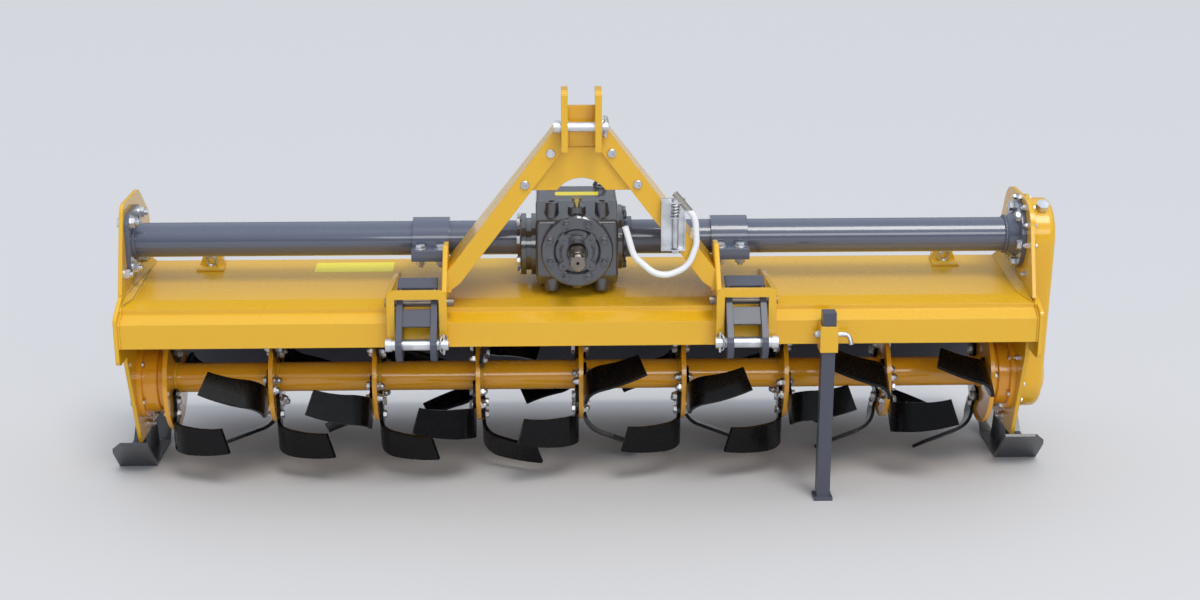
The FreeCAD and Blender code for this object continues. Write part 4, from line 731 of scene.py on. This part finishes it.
def linch_pin(name, centre, out, body):
    """Short pin through the end of a hitch pin along X, with its sprung ring over the end."""
    x, y, z = centre
    upright(name + "_pin", x, y, z + 27, z - 25, 4.2, body)
    hoop = []
    for k in range(12):
        turn = 2 * math.pi * k / 12
        hoop.append((x + out * 9 * math.sin(turn), y + 19.8 * math.sin(turn),
                     z + 2 + 23 * math.cos(turn)))
    wire(name + "_ring", hoop, 2.0, zinc_plate, body, loop=True)


linch_pin("top_linch", (58, -284, 975), 1, "frame")
wire("lifting_arm", [(68, 12, 748), (66, 12, 764), (54, 12, 774), (42, 12, 768), (38, 12, 758)],
     5, cast_grey, "frame")


# ---------------------------------------------------------------- hitch
# Brackets welded to the beam carry the grey swinging lower links, each two
# cheeks under a bent crown. The hitch pins are locked by linch pins.

LINK_X, BRACKET_HALF = 411, 76
BOTH = (("left", -1), ("right", 1))
coat(yellow_enamel, "hitch_bracket_left", "hitch_bracket_right")
coat(grey_enamel, "lower_link_left", "lower_link_right")
coat(zinc_plate, "lower_pin_left", "lower_pin_right")
coat(bare_steel, "link_pivot_left", "link_pivot_right")
weld("bracket_welds",
     [nose(sign * LINK_X + reach, -269, 416, -182)
      for _, sign in BOTH for reach in (-BRACKET_HALF, BRACKET_HALF)],
     "frame", 3.6, 7.0)
for side, sign in BOTH:
    linch_pin("lower_linch_" + side, (sign * (LINK_X - 66), -330, 436), -sign, "link_" + side)

# Each link's crown and the upper ends of its cheeks (y, z), seen over the bracket.
CHEEK = ((-288, 538), (-262, 563), (-220, 578), (-224, 556), (-260, 534))
for side, sign in BOTH:
    x = sign * LINK_X
    slab("link_crown_" + side,
         [(x - 50, -260, 556), (x + 50, -260, 556), (x + 50, -220, 571), (x - 50, -220, 571)],
         9, grey_enamel, "link_" + side)
    for end in (-1, 1):
        slab("link_cheek_%s_%d" % (side, end + 2), [(x + end * 43 + 4, *spot) for spot in CHEEK],
             8, grey_enamel, "link_" + side)

# Plates (y, z) that stiffen each bracket behind its frame, the inner one beside the
# mast's foot.
STIFFENER = 12.6
INNER = ((-304, 545), (-304, 566), (-206, 658), (-158, 655), (-158, 590), (-235, 545))
OUTER = ((-304, 545), (-304, 566), (-40, 543), (14, deck_z(14) + 4), (-20, deck_z(-20) - 1),
         (-170, 511))
for side, sign in BOTH:
    for place, middle, outline in (("inner", 342, INNER), ("outer", 480, OUTER)):
        slab("bracket_cheek_%s_%s" % (side, place),
             [(sign * middle + STIFFENER / 2, *spot) for spot in outline],
             STIFFENER, yellow_enamel, "frame")


# ---------------------------------------------------------------- stand
# Square tube leg in a welded socket on the beam, held by a bent pin with an
# acorn nut on its far end. The leg is grey, the socket is painted with the beam.

coat(grey_enamel, "stand_leg")
coat(yellow_enamel, "stand_socket")
coat(zinc_plate, "stand_pin")
wire("stand_handle",
     [(654, -297, 444), (664, -298, 444), (672, -303, 440), (676, -308, 428), (677, -310, 420)],
     6, zinc_plate, "frame")
place_fixings("stand_nut", "acorn", [((597.5, -297, 444), (-1, 0, 0), 10)], "frame")


# ---------------------------------------------------------------- drive shaft rest
# Folded zinc-plated bracket on the right mast leg. A rod, dipped in white
# plastic up to its bare end, swings on a sprung pin and holds up the drive shaft.

white_coat = Finish("white_coat", IOR=1.48)
height = white_coat.node("SeparateXYZ", sockets=[white_coat.place], out="Z")
bare = white_coat.ramp(height, 0.762, 0.766)
soil = white_coat.noise(18.0, 4.0)
plastic = white_coat.mix(soil * 0.2, shade(240, 241, 242), shade(214, 212, 206))
white_coat.set(Base_Color=white_coat.mix(bare, plastic, shade(178, 172, 162)),
               Metallic=bare, Roughness=0.34 + soil * 0.1)
coat(white_coat.material, "rest_rod")
coat(zinc_plate, "rest_plate")


def box(low, high):
    """Points and faces of a block between two corners in mm."""
    base = ((low[0], low[1]), (high[0], low[1]), (high[0], high[1]), (low[0], high[1]))
    points = [Vector((x, y, z)) / 1000 for z in (low[2], high[2]) for x, y in base]
    return points, [(3, 2, 1, 0), (4, 5, 6, 7), (0, 1, 5, 4), (1, 2, 6, 5), (2, 3, 7, 6),
                    (3, 0, 4, 7)]


folds = solid("rest_folds",
              [box((197, -283, 664), (199.5, -270, 788)), box((254.5, -283, 664), (257, -270, 748)),
               box((197, -286, 661), (257, -270, 664)), box((219, -286, 744), (245, -270, 747)),
               box((219, -286, 782), (245, -270, 785))], zinc_plate)
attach(folds, "frame")

# The sprung pin and the sleeve that guides it stand on one axis.
REST_X, REST_Y = 232, -279
upright("rest_guide", REST_X, REST_Y, 668, 744, 8, "frame")
upright("rest_pin", REST_X, REST_Y, 744, 809, 4.5, "frame")
place_fixings("rest_nuts", "screw",
              [((REST_X, REST_Y, 785), (0, 0, 1), 10), ((REST_X, REST_Y, 660.8), (0, 0, -1), 10)],
              "frame")
coil = []
for k in range(49):
    turn = 2 * math.pi * k / 12
    coil.append((REST_X + 9.5 * math.cos(turn), REST_Y + 9.5 * math.sin(turn), 749 + 31 * k / 48))
wire("rest_spring", coil, 1.8, zinc_plate, "frame", sides=2)


# ---------------------------------------------------------------- skids
# Bent flat bars bolted to the lower edge of each side plate. Their dark paint
# is duller than the rest.

skid_enamel = enamel("skid_enamel", (52, 53, 58), (128, 124, 118), 0.28, 0.3)
coat(skid_enamel, "skid_left", "skid_right")


# ---------------------------------------------------------------- rotor
# Tube with nine flanges, each carrying bolted tines, between two bearing hubs.
# The flanges are welded to the tube and painted; the tines are black spring steel.

rotor_enamel = enamel("rotor_enamel", (238, 168, 30), (214, 176, 96), 0.2, 0.3, 0.8)
coat(rotor_enamel, "hub_left", "hub_right", "rotor_tube")

tine_black = Finish("tine_black", IOR=1.4, Specular_IOR_Level=0.2, Coat_Roughness=0.05)
tine_cloud, tine_fine = tine_black.noise(7.0, 3.0), tine_black.noise(60.0, 3.0)
tine_skin = tine_black.noise(14.0, 2.0) * 3.0 + tine_fine
tine_black.set(Base_Color=tine_black.mix(tine_cloud, shade(5, 5, 6), shade(10, 10, 12)),
               Roughness=0.2 + tine_fine * 0.16, Coat_Weight=0.25 - tine_cloud * 0.2,
               Normal=tine_black.relief(tine_skin, 0.0003, 0.5, edge=0.0016))


def part_of(node, name, wanted, finish):
    """A closed copy of those faces of a CAD node that wanted(face) picks, in its finish."""
    mesh = bmesh.new()
    mesh.from_mesh(nodes[node].data)
    bmesh.ops.remove_doubles(mesh, verts=mesh.verts, dist=1e-6)
    bmesh.ops.delete(mesh, geom=[f for f in mesh.faces if not wanted(f)], context="FACES")
    bmesh.ops.holes_fill(mesh, edges=[e for e in mesh.edges if e.is_boundary])
    bmesh.ops.triangulate(mesh, faces=[f for f in mesh.faces if len(f.verts) > 4])
    bmesh.ops.recalc_face_normals(mesh, faces=mesh.faces)
    for face in mesh.faces:
        face.smooth, face.material_index = True, 0
    data = bpy.data.meshes.new(name)
    mesh.to_mesh(data)
    mesh.free()
    data.set_sharp_from_angle(angle=math.radians(30))
    data.materials.append(finish)
    made = put(name, data)
    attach(made, nodes[node]["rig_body"])
    return made


# How far round the first tine of each flange stands, right and left, in degrees
# from straight back, over the top; two more follow at thirds of a turn.
TINE_TURNS = ((217, None), (224, 170), (229, 184), (245, 199), (160, 210),
              (170, 219), (184, 221), (196, 158), (None, 157))
TINE_BOLTS = ((-39.8, 61.4), (-74.1, 72.3))
FLANGE_PITCH, FLANGE_HALF = 270, 6
heads, nuts, seams = [], [], []
for number, turns in enumerate(TINE_TURNS, start=1):
    x = (number - 5) * FLANGE_PITCH
    node = "rotor_flange_%d" % number
    outermost = number in (1, 9)
    reach = 138 if outermost else 120

    def on_tine(face):
        """Faces beyond the flange's sides, and on them those outside its rim."""
        centre = face.calc_center_median() * 1000 - Vector((x, *ROTOR[1:]))
        return abs(centre.x) > FLANGE_HALF + 0.01 or (
            abs(centre.x) > FLANGE_HALF - 0.01
            and math.hypot(centre.y, centre.z) > reach - 0.45)

    tines = part_of(node, "tines_%d" % number, on_tine, tine_black.material)
    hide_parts(node)
    plate = part_of(node, "flange_%d" % number, lambda face: not on_tine(face), rotor_enamel)
    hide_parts(node)
    for side, turn in zip((1, -1), turns):
        for third in range(3 if turn else 0):
            angle = math.radians(turn - 125 + 120 * third)
            for spot, (y, z) in enumerate(TINE_BOLTS):
                at = (ROTOR[1] + y * math.cos(angle) - z * math.sin(angle),
                      ROTOR[2] + y * math.sin(angle) + z * math.cos(angle))
                heads.append(((x + side * 15, *at), (side, 0, 0), 12))
                if spot or not outermost:
                    nuts.append(((x - side * FLANGE_HALF, *at), (-side, 0, 0), 12))
    for face in (-7, 7):
        if abs(x + face) < 4 * FLANGE_PITCH:
            seams.append(ring((x + face, *ROTOR[1:]), 40, 32))
place_fixings("tine_bolts", "bolt", heads, "rotor")
place_fixings("tine_nuts", "acorn", nuts, "rotor")
weld("rotor_welds", seams, "rotor", 4.2, 9.0)


# ---------------------------------------------------------------- board
# Levelling board hinged to the deck's rear edge and held by two chains, which
# hang from lugs welded to the deck.

LUG_X = 981
coat(grey_enamel, "tail_board", "board_hinge")
coat(yellow_enamel, "chain_lugs")
weld("lug_welds",
     [[(sign * LUG_X - 23, y, deck_z(y)), (sign * LUG_X + 23, y, deck_z(y))]
      for _, sign in BOTH for y in (106, 119)],
     "frame", 4.5, 11.0)


def tapered(x, low, high):
    """Corners of a plate about x that narrows from its low edge to its high one.

    Each edge is half its width, its y, and its height over the deck there.
    """
    edges = ((-1, low), (1, low), (1, high), (-1, high))
    return [(x + end * half, y, deck_z(y) + over) for end, (half, y, over) in edges]


# Foot plate, ear and ring of each lug.
for side, sign in BOTH:
    x = sign * LUG_X
    bow = []
    for k in range(16):
        turn = 2 * math.pi * k / 16
        bow.append((x + 13 * math.sin(turn), 58 - 4 * math.cos(turn), 547 + 14 * math.cos(turn)))
    wire("chain_bow_" + side, bow, 4.4, zinc_plate, "frame", loop=True)
    slab("lug_foot_" + side, tapered(x, (36, 30, -0.5), (30, 104, -0.5)), 6,
         yellow_enamel, "frame", edge=2)
    slab("lug_ear_" + side, tapered(x, (34, 76, 3), (22, 76, 36)), 7,
         yellow_enamel, "frame", edge=2)

# One link of the chain: a wire loop of two half circles and two straight sides.
# half is half its length, so that all the links together fill the fall from pin to pin.
CHAIN_TOP, CHAIN_LOW = Vector((0, 130, 562)), Vector((0, 306, 261))
CHAIN_WIRE, CHAIN_LINKS, LINK_BEND = 3.5, 9, 8
fall = (CHAIN_LOW - CHAIN_TOP).length
half = (fall + 2 * CHAIN_LINKS * CHAIN_WIRE + 8) / (2 * CHAIN_LINKS)
loop = []
for k in range(20):
    turn = 2 * math.pi * k / 20
    loop.append((LINK_BEND * math.cos(turn),
                 math.copysign(half - LINK_BEND, math.sin(turn)) + LINK_BEND * math.sin(turn)))
rings = []
for k, (a, b) in enumerate(loop):
    before, after = Vector(loop[k - 1]), Vector(loop[(k + 1) % 20])
    along = (after - before).normalized()
    section = []
    for m in range(8):
        turn = 2 * math.pi * m / 8
        out = CHAIN_WIRE * math.cos(turn)
        section.append((a + along.y * out, CHAIN_WIRE * math.sin(turn), b - along.x * out))
    rings.append(section)
stamps["link"] = solid("stamp_link", [shell(rings, closed=True)], zinc_plate, 60)

# The end links reach past the two pins, and every second link stands a quarter turn round.
PAST_PIN = 7.5
line = (CHAIN_LOW - CHAIN_TOP).normalized()
first = half - PAST_PIN
step = (fall - 2 * first) / (CHAIN_LINKS - 1)
for side, sign in BOTH:
    places = []
    for k in range(CHAIN_LINKS):
        at = CHAIN_TOP + line * (first + k * step) + Vector((sign * LUG_X, 0, 0))
        places.append((tuple(at), tuple(line), 1, math.pi / 2 * (k % 2)))
    chain = place_fixings("chain_" + side, "link", places, None)
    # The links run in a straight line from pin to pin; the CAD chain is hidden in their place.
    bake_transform(chain)
    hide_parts("tail_chain_" + side)

for stamp in stamps.values():
    bpy.data.objects.remove(stamp)


# ---------------------------------------------------------------- setting
# Plain pale floor, soft light and the camera of the photograph.

floor_finish = Finish("floor", Roughness=0.7, Base_Color=shade(206, 205, 205))
floor = solid("floor", [([(-30, -30, 0), (30, -30, 0), (30, 30, 0), (-30, 30, 0)], [(0, 1, 2, 3)])],
              floor_finish.material)

# The sky is pale above and grey at the horizon.
world = bpy.data.worlds.new("soft_sky")
bpy.context.scene.world = world
world.use_nodes = True
sky, links = world.node_tree.nodes, world.node_tree.links
place = sky.new("ShaderNodeTexCoord")
split = sky.new("ShaderNodeSeparateXYZ")
rise = sky.new("ShaderNodeMapRange")
rise.interpolation_type = "SMOOTHSTEP"
rise.inputs["From Min"].default_value, rise.inputs["From Max"].default_value = -0.05, 0.85
blend = sky.new("ShaderNodeMix")
blend.data_type = "RGBA"
blend.inputs[6].default_value = (0.17, 0.18, 0.20, 1)
blend.inputs[7].default_value = (1.18, 1.27, 1.42, 1)
links.new(place.outputs["Generated"], split.inputs[0])
links.new(split.outputs["Z"], rise.inputs["Value"])
links.new(rise.outputs["Result"], blend.inputs[0])
links.new(blend.outputs[2], sky["Background"].inputs["Color"])
sky["Background"].inputs["Strength"].default_value = 0.74


def light(name, kind, power, aim, place=(0, 0, 0), **settings):
    """A light at a place in metres that shines along aim."""
    data = bpy.data.lights.new(name, kind)
    data.energy = power
    for label, value in settings.items():
        setattr(data, label, value)
    made = put(name, data)
    made.location = place
    made.rotation_euler = Vector(aim).to_track_quat("-Z", "Y").to_euler()


light("soft_sun", "SUN", 1.3, (-0.25, 0.55, -1.0), angle=math.radians(24),
      color=(1.0, 0.97, 0.92))
light("front", "AREA", 95, (-1.2, 6.5, -2.5), (1.2, -6.5, 3.0),
      shape="RECTANGLE", size=5.0, size_y=1.6)

camera = bpy.data.cameras.new("camera")
camera.sensor_fit, camera.sensor_width, camera.lens = "HORIZONTAL", 36.0, 54.0
camera.clip_start, camera.clip_end = 0.05, 100
view = put("camera", camera)
yaw, pitch = math.radians(1.55), math.radians(17.06)
ahead = Vector((math.sin(yaw) * math.cos(pitch), math.cos(yaw) * math.cos(pitch),
                -math.sin(pitch)))
aside = Vector((math.cos(yaw), -math.sin(yaw), 0))
above = aside.cross(ahead)
view.matrix_world = Matrix.Translation((-0.071, -4.587, 1.856)) @ Matrix(
    (aside, above, -ahead)).transposed().to_4x4()
bpy.context.scene.camera = view
bpy.context.scene.view_settings.view_transform = "Standard"
